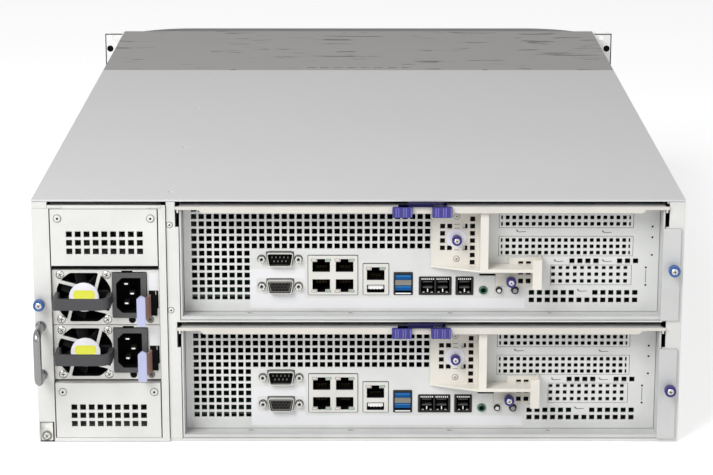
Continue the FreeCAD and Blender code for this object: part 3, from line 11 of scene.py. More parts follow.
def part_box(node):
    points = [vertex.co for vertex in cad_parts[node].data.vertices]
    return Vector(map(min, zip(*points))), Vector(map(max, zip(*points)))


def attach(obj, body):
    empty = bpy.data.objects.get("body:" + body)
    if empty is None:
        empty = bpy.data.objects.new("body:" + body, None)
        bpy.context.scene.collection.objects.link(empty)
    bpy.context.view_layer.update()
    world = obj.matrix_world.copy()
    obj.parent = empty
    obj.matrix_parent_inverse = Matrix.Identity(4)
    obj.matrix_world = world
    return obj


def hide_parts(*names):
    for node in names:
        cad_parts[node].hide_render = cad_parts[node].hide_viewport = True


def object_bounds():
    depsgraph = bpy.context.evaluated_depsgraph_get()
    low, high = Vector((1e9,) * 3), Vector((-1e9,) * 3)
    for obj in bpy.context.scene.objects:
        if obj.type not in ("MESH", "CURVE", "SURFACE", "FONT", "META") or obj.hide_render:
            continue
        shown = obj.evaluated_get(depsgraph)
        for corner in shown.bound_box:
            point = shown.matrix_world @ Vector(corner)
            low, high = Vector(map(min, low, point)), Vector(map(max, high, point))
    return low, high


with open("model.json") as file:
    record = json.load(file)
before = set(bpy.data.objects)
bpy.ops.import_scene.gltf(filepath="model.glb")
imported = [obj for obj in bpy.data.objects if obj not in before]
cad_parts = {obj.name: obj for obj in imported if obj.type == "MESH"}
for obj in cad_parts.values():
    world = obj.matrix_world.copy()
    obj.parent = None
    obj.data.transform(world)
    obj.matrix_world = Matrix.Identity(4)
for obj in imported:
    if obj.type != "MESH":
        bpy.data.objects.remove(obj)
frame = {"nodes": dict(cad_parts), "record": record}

CAD_LOW, CAD_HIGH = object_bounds()
MM = 0.001

# ---- the view and the studio, in metres and degrees ----
LENS = 119.58                 # in millimetres, on a 36 mm sensor
CAMERA_PLACE = (0.00021, 1.56605, 0.56033)    # across, back from the covers' rear edge, up
CAMERA_TURN = (75.229, 0.0, 0.052)
WHITE = (1, 1, 1, 1)
FLOOR_GREY = (0.8, 0.8, 0.8, 1)
FLOOR_GLOW = 0.5

# ---- what all finishes share ----
BLOTCH_BAND = (0.3, 0.7)      # part of the noise that goes from the dark to the light blotches
GLOSS_SPREAD = 0.12
EDGE_WEAR_AND_LIGHT_BAND = (0.97, 0.75)      # how far an edge's normal turns where the edge tone begins and is full; the tone is partly wear, partly painted edge highlight and shade
GRAIN_SIZE = 0.0006
GRAIN_DEPTH = 0.0001
SMEAR_GREY = (70, 70, 70)
SMEAR_SOFTNESS = 0.06

# ---- sizes in millimetres, measured as on the part ----
HANDLE_REACH = 26.0           # how far the column's handle stands out behind the covers
SKIN = 0.03                   # how far flat marks lie over the sheet under them

# the rear panel and its slot covers
PANEL_SHEET = 1.0
BAR_DEPTH = (0.02, PANEL_SHEET - 0.02)    # of the bars that divide the panel's rows
VENT_LEFT = -115.45           # left edge of the panel's first vent hole
VENT_PITCH = 5.21
VENT_HOLE = 3.7
VENT_COLUMNS = (32, 8)        # in the wide rows above and in the low block
VENT_WIDE = (46.5, 76.5)      # heights between the first and last row of each block
VENT_LOW = (9.7, 45.2)
HOLE_PITCH = 5.52             # holes of the panel's side rows
SIDE_HOLE = 3.6
SIDE_HOLES_START = 120.5
SIDE_ROWS = {9.5: [(SIDE_HOLES_START, 14)],
             14.9: [(SIDE_HOLES_START, 6), (SIDE_HOLES_START + 8 * HOLE_PITCH, 6)],
             37.7: [(148.1, 4), (181.1, 3)]}      # by height: first hole and count of each run
COVER_X = (97.4, 189.9)
COVER_ROWS = {(61.6, 71.4): (68.8, 64.2), (41.4, 55.2): (52.6, 48.1, 43.6)}     # by each cover's span
COVER_FLANGE = 8.0
COVER_PITCH = 4.49            # holes of the two wide slot covers
COVER_COLUMNS = 19
COVER_HOLE = 2.65
COVER_HOLES_START = 103.1
THIN_COVER_X = (133.6, 189.3)
THIN_COVER_Z = (20.6, 34.6)
THIN_COVER_ROWS = (33.0, 28.1, 23.2)
THIN_COVER_PITCH = 5.01
THIN_COVER_COLUMNS = 11
THIN_COVER_START = 135.2
PIERCED_DOTS = ((203.2, 62.3), (203.3, 54.6), (203.3, 42.0), (199.4, 33.0), (199.5, 20.4))
EMBOSSED_TABS = ((112.5, 58.9), (171.8, 58.4), (138.9, 37.7), (172.3, 37.7), (155.6, 16.3))
THIN_SLOT_X = 199.45

# connectors, buttons and the label strip
PORT_RISE = 13.5
PORT_STAND = 0.8
PORT_DEPTH = 14.0
FRAME_SHEET = 0.5
JACK = (12.2, 7.2)
JACK_NOTCH = (5.6, 2.0)
JACK_INSET = 2.9
JACK_FLOOR = 3.9              # from the block's bottom to the lower jacks' opening
JACK_DROP = 11.6              # from the block's top to the floor of the upper jacks
NETWORK_X = (-34.7, -0.5)
NETWORK_TOP = 41.6
COMBO_X = (3.5, 21.0)
COMBO_TOP = 35.7
COMBO_LEFT = 2.5
USB_X = (24.9, 37.6)
USB_TOP = 29.3
USB_FLOORS = (1.2, 9.0)
USB_OPENING = 5.6
COMBO_USB_FLOOR = 1.6
STORAGE_PAIR_X = (42.4, 64.5)
STORAGE_SINGLE_X = (67.9, 79.7)
STORAGE_TOP = 26.1
STORAGE_WALL = (1.2, 1.4)     # shell beside a socket, and above and below it
DISPLAY_X = -54.2
DISPLAY_RISES = (19.7, 39.2)
DISPLAY_STAND = 4.0
SHELL = (18.9, 9.8)
SHELL_TAPER = 1.6
JACK_SCREW_OFFSET = 12.8
AUDIO_X = 86.9
SMALL_ROW_RISE = 16.7
POWER = (108.9, 2.5)          # place along X and radius
FUNCTION = (97.8, 2.1)
LABEL_X = (-75.1, 115.9, -37.0)      # left and right ends, and where the strip steps up
LABEL_Z = (3.5, 10.7, 31.8)          # bottom, top, and top of the wide part

# fasteners, the riser bracket, the lever's pads, lid and tray
SHANK_RADIUS = 1.5
SHANK_LENGTH = 6.0
FLUSH_HEAD = 0.7
BRACKET_KNOBS = ((67.9, 54.4), (105.8, 24.5))
BRACKET_KNOB = (3.5, 9.3)     # radius and length
BRACKET_FACE = -1.5           # the bracket plate's rear face, from the panel
BRACKET_SCREWS_Z = (69.9, 39.6)
PAD_WIDTH = 13.8
PAD_HEIGHT = 7.4
PAD_DEPTH = 2.8
PAD_INSET = 4.0
PAD_TRAVEL = 2.5
TONGUE = 1.2
HOLE_COLUMNS = (58.2, 63.1, 73.7, 78.9)
HOLE_ROWS = (68.1, 62.9, 57.7, 52.6, 47.4, 42.2, 37.0)
# painted shade: dark squares behind the bracket's holes, for the shade on the panel behind them; place, then
# width and height
PAINTED_SHADE_SQUARES = [((x, z), (4.2, 4.2)) for x in (HOLE_COLUMNS[0], HOLE_COLUMNS[3]) for z in HOLE_ROWS]
PAINTED_SHADE_SQUARES += [((HOLE_COLUMNS[1], z), (4.2, 4.2)) for z in (HOLE_ROWS[1], HOLE_ROWS[4])]
PAINTED_SHADE_SQUARES += [((HOLE_COLUMNS[2] + 1.3, z), (2.4, 4.2)) for z in (HOLE_ROWS[1], HOLE_ROWS[4])]
PAINTED_SHADE_SQUARES += [((x, z), (4.0, 4.0)) for x in (112.6, 117.9) for z in (36.1, 29.85, 23.6)]
LID_STEP = (8.4, 2.5)         # from the lid's rear edge forward, and its height
TRAY_FLOOR = 1.2
TRAY_MARKS_X = (-75.1, -5.1, 64.3, 133.6)
TRAY_MARK_RADII = (2.8, 1.68)
TRAY_MARK_SETBACK = 4.6

# the power column and its supplies
FILLER_SCREWS_X = (5.0, 68.6)
FILLER_SCREW_DROP = 6.45
FILLER_SCREW_RADIUS = 2.7
COLUMN_TABS_X = ((-1.3, 8.2), (65.9, 75.6))
FAN_X = 21.6
FAN_BORE = 19.6
FAN_FLATS = (18.6, 17.4)      # half width and half height that trim the fan's round bore
FAN_DEPTH = 16.0
FAN_SCREW_OFFSET = 16
FAN_SCREW = (3.0, 0.8)        # radius and height of the head
PSU_LABEL = ((65.9, 72.3), (24.9, 36.6))
PSU_SHADE = ((66.3, 73.0), (11.5, 24.4))      # the opening beside the inlet, drawn as a flat dark sheet of painted shade
PSU_FOLD = ((71.0, 71.4), (4.0, 24.0))
PSU_HOLE = (54.6, 3.4)
PSU_SCREW = (67.0, 3.6)
PSU_TOP_GAP = (48.0, 55.5)
PSU_TOP_LIPS = ((44.0, 47.8), (55.7, 62.0))
INLET_MOUTH = ((2.7, 19.6), (3.45, 28.65))
INLET_DEPTH = 16.0
INLET_CUT = 4.0

# the chassis, its covers and drives
DIVIDER_SCREW_INSET = 2.2
DIVIDER_SCREW_RISES = (7.1, 67.8)
DIVIDER_SCREW_RADIUS = 2.1
EAR_SCREW_SHARES = (0.2, 0.5, 0.8)
EAR_SCREW = (3.0, 1.2)
EAR_LEG_SHEET = 1.6
EAR_TOOTH = 1.4               # height of the hooks on the ear's top edge
EAR_HOLE_INSET = 4.5
EAR_HOLE_DROP = 14.3
EAR_RIM = 0.9
SEAM_NOTCHES_X = (-109.4, 110.9)
SEAM_SLOTS_START = -41.5
SEAM_SLOT_PITCH = 11.9
DRIVE_COLUMNS = 4
DRIVE_ROWS = 6
DRIVE_GAPS = (2.2, 0.75)      # between neighbouring carriers, across and up


# ---- studio ----
def add_node(tree, kind, inputs=(), **settings):
    """A shader node with its settings; each input takes a value, or a socket to link from."""
    made = tree.nodes.new("ShaderNode" + kind)
    for name, value in settings.items():
        setattr(made, name, value)
    for name, value in dict(inputs).items():
        if isinstance(value, bpy.types.NodeSocket):
            tree.links.new(value, made.inputs[name])
        else:
            made.inputs[name].default_value = value
    return made


def make_camera():
    """The photograph's view: from behind the server, a little above it."""
    data = bpy.data.cameras.new("camera")
    data.sensor_width = 36.0
    data.lens = LENS
    camera = bpy.data.objects.new("camera", data)
    across, back, rise = CAMERA_PLACE
    camera.location = (across, CAD_LOW.y + HANDLE_REACH * MM - back, rise)
    camera.rotation_euler = [math.radians(turn) for turn in CAMERA_TURN]
    bpy.context.scene.collection.objects.link(camera)
    bpy.context.scene.camera = camera


def shown_ray(tree):
    """A socket that is 1 on camera, glossy and transmission rays."""
    path = add_node(tree, "LightPath")
    total = path.outputs["Is Camera Ray"]
    for name in ("Is Glossy Ray", "Is Transmission Ray"):
        total = add_node(tree, "Math", {0: total, 1: path.outputs[name]}, operation="MAXIMUM").outputs[0]
    return total


def make_world(ambient):
    """White where it is seen or mirrored, and an even soft light elsewhere."""
    world = bpy.data.worlds.new("studio")
    bpy.context.scene.world = world
    world.use_nodes = True
    tree = world.node_tree
    tree.nodes.clear()
    lit = add_node(tree, "Background", {"Color": WHITE, "Strength": ambient})
    seen = add_node(tree, "Background", {"Color": WHITE})
    mix = add_node(tree, "MixShader", {0: shown_ray(tree), 1: lit.outputs[0], 2: seen.outputs[0]})
    add_node(tree, "OutputWorld", {"Surface": mix.outputs[0]})


def make_floor():
    """A pale floor that keeps the server's shadow."""
    bpy.ops.mesh.primitive_plane_add(size=30.0)
    floor = bpy.context.object
    floor.name = "floor"
    floor.location = (0, 0, CAD_LOW.z - 0.0005)
    paint = bpy.data.materials.new("floor")
    paint.use_nodes = True
    tree = paint.node_tree
    tree.nodes.clear()
    diffuse = add_node(tree, "BsdfDiffuse", {"Color": FLOOR_GREY})
    strength = add_node(tree, "Math", {0: shown_ray(tree), 1: FLOOR_GLOW}, operation="MULTIPLY")
    glow = add_node(tree, "Emission", {"Strength": strength.outputs[0]})
    total = add_node(tree, "AddShader", {0: diffuse.outputs[0], 1: glow.outputs[0]})
    add_node(tree, "OutputMaterial", {"Surface": total.outputs[0]})
    floor.data.materials.append(paint)


def make_lamp(name, place, target, size, watts):
    """A soft square lamp that faces a point."""
    data = bpy.data.lights.new(name, "AREA")
    data.size = size
    data.energy = watts
    lamp = bpy.data.objects.new(name, data)
    lamp.location = place
    lamp.rotation_euler = (Vector(target) - Vector(place)).to_track_quat("-Z", "Y").to_euler()
    bpy.context.scene.collection.objects.link(lamp)


# ---- materials ----
def colour(r, g, b):
    """A display colour, 0 to 255, as the linear value that a shader takes."""
    return tuple((c / 255) ** 2.2 for c in (r, g, b)) + (1.0,)


def scaled(rgba, factor):
    """A colour made darker or lighter."""
    return tuple(min(1.0, c * factor) for c in rgba[:3]) + (1.0,)


FINISHES = {}


def add_finish(name, rgb, roughness, metallic=0.0, blotch=0.06, blotch_size=0.03, grain=0.15, edge=0.0004,
               edge_wear_and_light=1.15, sheen=0.5, smears=0.0):
    """A finish with soft blotches in its colour and gloss, a fine grain, edges lightened or darkened as
    partly wear and partly painted highlight and shade, and handling smears.
    """
    made = FINISHES[name] = bpy.data.materials.new(name)
    made.use_nodes = True
    tree = made.node_tree
    shader = tree.nodes["Principled BSDF"]
    shader.inputs["Metallic"].default_value = metallic
    shader.inputs["Specular IOR Level"].default_value = sheen
    place = add_node(tree, "TexCoord").outputs["Object"]
    rgba = colour(*rgb)

    cloud = add_node(tree, "TexNoise", {"Scale": 1 / blotch_size, "Detail": 5.0, "Vector": place})
    tint = add_node(tree, "ValToRGB", {"Fac": cloud.outputs["Fac"]})
    for stop, share, factor in zip(tint.color_ramp.elements, BLOTCH_BAND, (1 - blotch, 1 + blotch)):
        stop.position = share
        stop.color = scaled(rgba, factor)
    gloss = add_node(tree, "MapRange", {
        "Value": cloud.outputs["Fac"],
        "To Min": roughness * (1 - GLOSS_SPREAD),
        "To Max": min(1.0, roughness * (1 + GLOSS_SPREAD))})
    tree.links.new(gloss.outputs[0], shader.inputs["Roughness"])

    rounded_edge = add_node(tree, "Bevel", {"Radius": edge}, samples=4).outputs[0]
    flat = add_node(tree, "NewGeometry").outputs["Normal"]
    facing = add_node(tree, "VectorMath", {0: rounded_edge, 1: flat}, operation="DOT_PRODUCT")
    # painted light: the edge factor lightens or darkens the colour along rounded edges, partly as wear and
    # partly as painted highlight and shade
    worn_and_lit_edge = add_node(tree, "MapRange", {
        "Value": facing.outputs["Value"], "From Min": EDGE_WEAR_AND_LIGHT_BAND[0], "From Max": EDGE_WEAR_AND_LIGHT_BAND[1]})
    tinted = blended(tree, worn_and_lit_edge.outputs[0], tint.outputs["Color"], scaled(rgba, edge_wear_and_light))
    if smears:
        tinted = smeared(tree, place, tinted, smears)
    tree.links.new(tinted, shader.inputs["Base Color"])

    fine = add_node(tree, "TexNoise", {"Scale": 1 / GRAIN_SIZE, "Detail": 2.0, "Vector": place})
    relief = add_node(tree, "Bump", {
        "Strength": grain, "Distance": GRAIN_DEPTH, "Height": fine.outputs["Fac"], "Normal": rounded_edge})
    tree.links.new(relief.outputs[0], shader.inputs["Normal"])


def blended(tree, share, first, second):
    """A socket that mixes two colours."""
    inputs = {"Factor": share, "A": first, "B": second}
    return add_node(tree, "Mix", inputs, data_type="RGBA").outputs["Result"]


def smeared(tree, place, clean, depth):
    """A clean colour under sparse thin dark smears that are drawn out along X."""
    drawn = add_node(tree, "Mapping", {"Vector": place, "Scale": (0.13, 1, 1)}).outputs["Vector"]
    masks = []
    for source, size, start in ((drawn, 0.0065, 0.585), (place, 0.045, 0.48)):
        noise = add_node(tree, "TexNoise", {"Scale": 1 / size, "Detail": 3.0, "Vector": source})
        mask = add_node(tree, "MapRange", {
            "Value": noise.outputs["Fac"], "From Min": start, "From Max": start + SMEAR_SOFTNESS})
        masks.append(mask.outputs[0])
    both = add_node(tree, "Math", enumerate(masks), operation="MULTIPLY")
    amount = add_node(tree, "Math", {0: both.outputs[0], 1: depth}, operation="MULTIPLY")
    return blended(tree, amount.outputs[0], clean, colour(*SMEAR_GREY))


# an edge factor above 1 lightens edges, partly as wear and partly as painted highlight (six times on the
# black rotor); below 1 it darkens them as painted shade
add_finish("chassis_steel", (206, 206, 203), 0.46, 0.2)
add_finish("cover_steel", (202, 202, 203), 0.68, blotch=0.015, blotch_size=0.2, grain=0.1, sheen=0.15)
add_finish("front_cover_steel", (156, 154, 153), 0.64, blotch=0.03, blotch_size=0.1, grain=0.1, sheen=0.15,
           smears=0.7)
add_finish("ear_steel", (238, 238, 237), 0.45, 0.05)
add_finish("drive_plastic", (46, 47, 50), 0.5, edge_wear_and_light=1.8)
add_finish("circuit_board", (24, 52, 38), 0.45)
add_finish("screw_steel", (196, 195, 190), 0.25, 0.9, edge=0.0002)
add_finish("bezel_plastic", (78, 78, 79), 0.5)
add_finish("handle_chrome", (136, 136, 137), 0.2, 1.0, blotch=0.02, blotch_size=0.05, grain=0.02)
add_finish("blue_knob", (42, 84, 150), 0.4, edge=0.0002)
add_finish("violet_knob", (52, 46, 116), 0.4, edge=0.0002, sheen=0.3)
add_finish("psu_metal", (208, 207, 203), 0.4, 0.2)
add_finish("black_plastic", (58, 57, 59), 0.45, edge_wear_and_light=1.8)
add_finish("latch_plastic", (60, 56, 126), 0.42, edge=0.0001, edge_wear_and_light=1.3)
add_finish("panel_steel", (206, 207, 205), 0.46, 0.2, edge=0.0002)
add_finish("bracket_steel", (202, 198, 190), 0.45, 0.15)
add_finish("port_metal", (200, 199, 194), 0.3, 0.75, edge=0.0002, edge_wear_and_light=0.8)
add_finish("button_plastic", (150, 150, 156), 0.35, edge=0.0002)
# black for sockets, holes and mouldings, and also laid as flat dark sheets and blocks that are painted shade
# in gaps and behind holes
add_finish("socket_black", (18, 18, 19), 0.8, edge=0.0001, edge_wear_and_light=1.5, sheen=0.08)
add_finish("plated", (200, 199, 194), 0.3, 0.8, blotch=0.35, blotch_size=0.008, edge_wear_and_light=0.6)
add_finish("rotor_black", (36, 36, 37), 0.5, edge=0.0003, edge_wear_and_light=6.0, sheen=0.2)
# painted highlight: a lighter copy of the latch plastic for the lit tops of the pad's ribs
add_finish("rib_violet_painted_highlight", (104, 100, 182), 0.42, edge=0.0001)
# painted shade: a darker copy of the latch plastic, for the shade under the cover's lip
add_finish("tongue_violet_painted_shade", (30, 28, 66), 0.6, edge=0.0001, sheen=0.15)
# painted light: a lighter copy of the bracket steel on the riser bracket, which stands in for light on the
# plate under the lever
add_finish("bracket_steel_painted_light", (216, 212, 203), 0.45)
# painted shade: a darker copy of the panel's steel on trays and lids, which stands in for shade low in the
# canister
add_finish("tray_steel_painted_shade", (192, 193, 192), 0.46, 0.2)
add_finish("carrier_grey", (88, 89, 92), 0.5)
add_finish("shade_grey", (112, 110, 106), 0.6, edge=0.0001)
add_finish("contact_gold", (120, 104, 74), 0.4, 0.8, edge=0.0001)
add_finish("contact_steel", (222, 222, 220), 0.25, 0.9, edge=0.0001)
add_finish("lamp_clear", (208, 202, 192), 0.3, edge=0.0001)
add_finish("lamp_green", (152, 174, 158), 0.3, edge=0.0001)
add_finish("usb_blue", (6, 76, 132), 0.45, edge=0.0002, sheen=0.2)
# painted highlight: a lighter copy of the USB blue
add_finish("usb_blue_painted_highlight", (34, 118, 182), 0.4, edge=0.0001)
add_finish("usb_white", (236, 236, 234), 0.4, edge=0.0002)
add_finish("audio_green", (22, 98, 68), 0.35, edge=0.0002)
add_finish("label_film", (216, 216, 218), 0.55, blotch=0.01, grain=0.05, edge=0.0001)
add_finish("label_yellow", (222, 224, 74), 0.5, blotch=0.02, edge=0.0001)
add_finish("hub_film", (226, 224, 232), 0.45, blotch=0.02, edge=0.0001)
add_finish("latch_lilac", (172, 176, 208), 0.35)
add_finish("latch_brown", (142, 108, 98), 0.5)
add_finish("inlet_grey", (70, 70, 71), 0.5, edge_wear_and_light=1.5)
add_finish("insert_grey", (120, 118, 112), 0.5, edge=0.0002)
add_finish("insert_dark", (44, 42, 40), 0.6, edge=0.0002, sheen=0.2)


def dress_nodes():
    """Give every CAD node its slot's finish, or another: black on the fan rotors, a lighter bracket steel
    that is painted light, and a darker tray steel on trays and lids that is painted shade.
    """
    slots = {part["node"]: part["material_slot"] for part in frame["record"]["subparts"]}
    # painted light on the bracket and painted shade on trays and lids, by lighter and darker copies of their
    # steel
    special = {"rotor": "rotor_black", "bracket": "bracket_steel_painted_light", "tray": "tray_steel_painted_shade", "lid": "tray_steel_painted_shade"}
    for name, node in frame["nodes"].items():
        node.data.materials.clear()
        finish = special.get(name.split("_")[-1], slots[name])
        node.data.materials.append(FINISHES[finish])


# ---- mesh building ----
class Piece:
    """A mesh under construction, in millimetres from an anchor point of the frame."""

    def __init__(self, name, body, anchor=(0, 0, 0)):
        self.name = name
        self.body = body
        self.anchor = Vector(anchor)
        self.mesh = bmesh.new()
        self.finishes = []

    def paint(self, faces, finish):
        """Give faces a finish."""
        if finish not in self.finishes:
            self.finishes.append(finish)
        for face in faces:
            face.material_index = self.finishes.index(finish)

    def box(self, x, y, z, finish):
        """A block from three (low, high) spans."""
        corners = bmesh.ops.create_cube(self.mesh, size=1.0)["verts"]
        for corner in corners:
            share = corner.co + Vector((0.5, 0.5, 0.5))
            corner.co = [span[0] + share[i] * (span[1] - span[0]) for i, span in enumerate((x, y, z))]
        self.paint({face for corner in corners for face in corner.link_faces}, finish)

    def take_curve(self, loops, closed, matrix, finish, **settings):
        """Add the mesh of a curve with straight runs through each loop's points."""
        curve = bpy.data.curves.new("outline", "CURVE")
        for name, value in settings.items():
            setattr(curve, name, value)
        for loop in loops:
            spline = curve.splines.new("POLY")
            spline.points.add(len(loop) - 1)
            for point, place in zip(spline.points, loop):
                point.co = Vector(place).to_4d()
            spline.use_cyclic_u = closed
        holder = bpy.data.objects.new("outline", curve)
        made = bpy.data.meshes.new_from_object(holder)
        made.transform(matrix)
        start = len(self.mesh.faces)
        self.mesh.from_mesh(made)
        self.mesh.faces.ensure_lookup_table()
        self.paint(self.mesh.faces[start:], finish)
        bpy.data.objects.remove(holder)
        bpy.data.curves.remove(curve)
        bpy.data.meshes.remove(made)

    def filled(self, loops, span, matrix, finish):
        """A flat sheet as thick as the span: the first loop is its outline, the others are holes."""
        self.take_curve(loops, True, matrix, finish, dimensions="2D", fill_mode="BOTH",
                        extrude=(span[1] - span[0]) / 2)

    def sheet(self, loops, y, finish):
        """A flat sheet across Y, from loops of (x, z) points."""
        upright = Matrix.Rotation(math.pi / 2, 4, "X")
        self.filled(loops, y, Matrix.Translation((0, sum(y) / 2, 0)) @ upright, finish)

    def slab(self, loops, z, finish):
        """A flat sheet across Z, from loops of (x, y) points."""
        self.filled(loops, z, Matrix.Translation((0, 0, sum(z) / 2)), finish)

    def turned(self, x, z, profile, finish, sides=32, wave=0.0, closed=True):
        """A round shape about a line along Y, from (radius, y) points; its rim may be knurled."""
        rings = []
        for radius, y in profile:
            ring = []
            for i in range(sides if radius > 0 else 1):
                angle = 2 * math.pi * i / sides
                r = radius - wave * (i % 2)
                ring.append(self.mesh.verts.new((x + r * math.cos(angle), y, z + r * math.sin(angle))))
            rings.append(ring)
        faces = []
        for near, far in zip(rings, rings[1:]):
            for i in range(sides):
                j = (i + 1) % sides
                corners = [near[i % len(near)], near[j % len(near)], far[j % len(far)], far[i % len(far)]]
                faces.append(self.mesh.faces.new(list(dict.fromkeys(corners))))
        for ring in (rings[0], rings[-1]):
            if closed and len(ring) > 1:
                faces.append(self.mesh.faces.new(ring))
        self.paint(faces, finish)

    def plate(self, x, z, radius, y, finish, holes=()):
        """A flat plate across Y with rounded corners."""
        self.sheet([rounded(rect(x, z), radius), *holes], y, finish)

    def ring(self, x, z, radii, y, finish, sides=24):
        """A flat ring across Y, between an outer and an inner radius."""
        self.sheet([circle(x, z, radius, sides) for radius in radii], y, finish)

    def plug(self, x, z, radius, y, finish, sides=12):
        """A round plug along Y with flat ends."""
        self.turned(x, z, [(radius, y[0]), (radius, y[1])], finish, sides)

    def tube(self, points, radius, finish, sides=6):
        """A round bar that follows a list of points."""
        self.take_curve([points], False, Matrix.Identity(4), finish, dimensions="3D", bevel_depth=radius,
                        bevel_resolution=sides, use_fill_caps=True)

    def swung(self, degrees, place, build):
        """Build something, then swing it about Z and move it into place."""
        before = len(self.mesh.verts)
        build()
        self.mesh.verts.ensure_lookup_table()
        matrix = Matrix.Translation(place) @ Matrix.Rotation(math.radians(degrees), 4, "Z")
        bmesh.ops.transform(self.mesh, matrix=matrix, verts=self.mesh.verts[before:])

    def done(self, slot, *replaced, bevel=0.0):
        """Turn the mesh into a piece that rides its body, with softened edges."""
        bmesh.ops.recalc_face_normals(self.mesh, faces=self.mesh.faces)
        mesh = bpy.data.meshes.new(self.name)
        self.mesh.to_mesh(mesh)
        self.mesh.free()
        mesh.transform(Matrix.Translation(self.anchor) @ Matrix.Scale(MM, 4))
        for finish in self.finishes:
            mesh.materials.append(FINISHES[finish])
        mesh.polygons.foreach_set("use_smooth", [True] * len(mesh.polygons))
        mesh.set_sharp_from_angle(angle=math.radians(35))
        piece = bpy.data.objects.new(self.name, mesh)
        bpy.context.scene.collection.objects.link(piece)
        if bevel:
            soften = piece.modifiers.new("edges", "BEVEL")
            soften.width = bevel * MM
            soften.segments = 2
            soften.limit_method = "ANGLE"
            soften.angle_limit = math.radians(40)
        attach(piece, self.body)
        if replaced:
            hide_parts(*replaced)


def corner_of(node):
    """A CAD node's low corner in the frame, and its size in millimetres."""
    low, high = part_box(node)
    return low, (high - low) / MM


def corners_of(node):
    """A CAD node's low and high corners, both in millimetres."""
    return [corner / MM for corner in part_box(node)]


def rect(x, z):
    """A rectangle as (x, z) points."""
    return [(x[0], z[0]), (x[1], z[0]), (x[1], z[1]), (x[0], z[1])]


def about(middle, width):
    """A span about its middle."""
    return (middle - width / 2, middle + width / 2)


def grown(span, margin):
    """A span made longer at both ends."""
    return (span[0] - margin, span[1] + margin)


def rounded(points, radius, steps=4):
    """A polygon with each corner rounded."""
    result = []
    count = len(points)
    for i in range(count):
        corner = Vector(points[i])
        before = (Vector(points[i - 1]) - corner).normalized()
        after = (Vector(points[(i + 1) % count]) - corner).normalized()
        half = before.angle(after) / 2
        cut = radius / math.tan(half)
        start, end = corner + before * cut, corner + after * cut
        centre = corner + (before + after).normalized() * (radius / math.sin(half))
        for step in range(steps + 1):
            point = start.lerp(end, step / steps) - centre
            result.append(tuple(centre + point.normalized() * radius))
    return result


def arc(x, z, radius, start, sweep=90, steps=6):
    """Points along part of a circle, from an angle in degrees on."""
    turns = [math.radians(start + sweep * i / steps) for i in range(steps + 1)]
    return [(x + radius * math.cos(turn), z + radius * math.sin(turn)) for turn in turns]


def circle(x, z, radius, sides=24):
    """A circle as (x, z) points."""
    return arc(x, z, radius, 0, 360, sides)[:-1]


# ---- fasteners ----
def cross_recess(piece, x, z, y, size, turn):
    """The dark cross in a screw head, laid just over its face."""
    arm = size * 0.17
    for side in (0, 1):
        angle = math.radians(turn + 90 * side)
        along = Vector((math.cos(angle), math.sin(angle)))
        across = Vector((-along.y, along.x))
        corners = [along * size + across * arm, along * -size + across * arm,
                   along * -size - across * arm, along * size - across * arm]
        piece.sheet([[(x + c.x, z + c.y) for c in corners]], (y - SKIN, y + 0.05), "socket_black")


def pan_screw(piece, x, z, seat, radius, height, turn=20):
    """A domed screw head with a cross recess in a dark seat, on a rear-facing surface."""
    top = seat - height
    dome = [(0, top), (radius * 0.45, top + 0.02), (radius * 0.75, top + height * 0.25),
            (radius * 0.9, top + height * 0.7), (radius * 0.9, seat)]
    piece.turned(x, z, dome, "screw_steel", 28)
    piece.ring(x, z, (radius, radius * 0.89), (seat - 0.1, seat), "inlet_grey")
    cross_recess(piece, x, z, top, radius * 0.5, turn)


def flush_screw(piece, x, z, seat, radius, ring):
    """A pale countersunk head with a thin ring round it and a small dark socket."""
    top = seat - FLUSH_HEAD
    head = [(0, top + 0.15), (radius * 0.3, top + 0.1), (radius * 0.7, top), (radius * 0.86, top + 0.15),
            (radius * 0.9, seat)]
    piece.turned(x, z, head, "psu_metal", 28)
    piece.ring(x, z, (radius * 1.08, radius * 0.88), (seat - 0.1, seat), ring)
    piece.plug(x, z, radius * 0.3, (top - SKIN, seat), "socket_black")


def thumbscrew(piece, x, z, seat, radius, length, ring, turn=0):
    """A captive screw: knurled coloured sleeve round a bright slotted head, with a neck to its seat."""
    front = seat - length
    piece.turned(x, z, [(radius * 0.57, front + 0.5), (radius * 0.84, front), (radius, front + 0.7),
                        (radius, front + length * 0.62), (radius * 0.9, front + length * 0.7),
                        (radius * 0.7, front + length * 0.72), (radius * 0.7, seat)], ring, 48, radius * 0.06)
    head = radius * 0.57
    dome = [(0, front - 0.1), (head * 0.8, front - 0.1), (head, front + 0.25), (head, front + 1.5)]
    piece.turned(x, z, dome, "screw_steel", 28)
    cross_recess(piece, x, z, front - 0.1, head * 0.62, turn)


def build_knob(node, body, ring, turn):
    """A captive screw in place of a CAD one, with its shank."""
    low, size = corner_of(node)
    radius = size.x / 2
    under = size.y - SHANK_LENGTH - 0.3
    piece = Piece(node + "_turned", body, low)
    thumbscrew(piece, radius, radius, under, radius - 0.02, under - 0.15, ring, turn)
    shank = [(SHANK_RADIUS, under - 0.1), (SHANK_RADIUS, size.y - 0.7), (0.9, size.y - 0.05)]
    piece.turned(radius, radius, shank, "screw_steel", 16)
    piece.done(ring, node)


# ---- canister details ----
def bar_row(piece, start, count, pitch, hole, z):
    """Upright bars that divide a long slot into square holes, from the middle of its first hole."""
    for i in range(count - 1):
        piece.box(about(start + (i + 0.5) * pitch, pitch - hole), BAR_DEPTH, z, "panel_steel")


def slot_cover(piece, x, z, rows, columns):
    """A perforated blank with a return flange."""
    holes = [rect(about(cx, width), about(cz, COVER_HOLE)) for cz in rows for cx, width in columns]
    piece.sheet([rect(x, z)] + holes, (0, PANEL_SHEET), "panel_steel")
    piece.box(x, (PANEL_SHEET - 0.1, COVER_FLANGE), (z[1] - PANEL_SHEET, z[1]), "panel_steel")


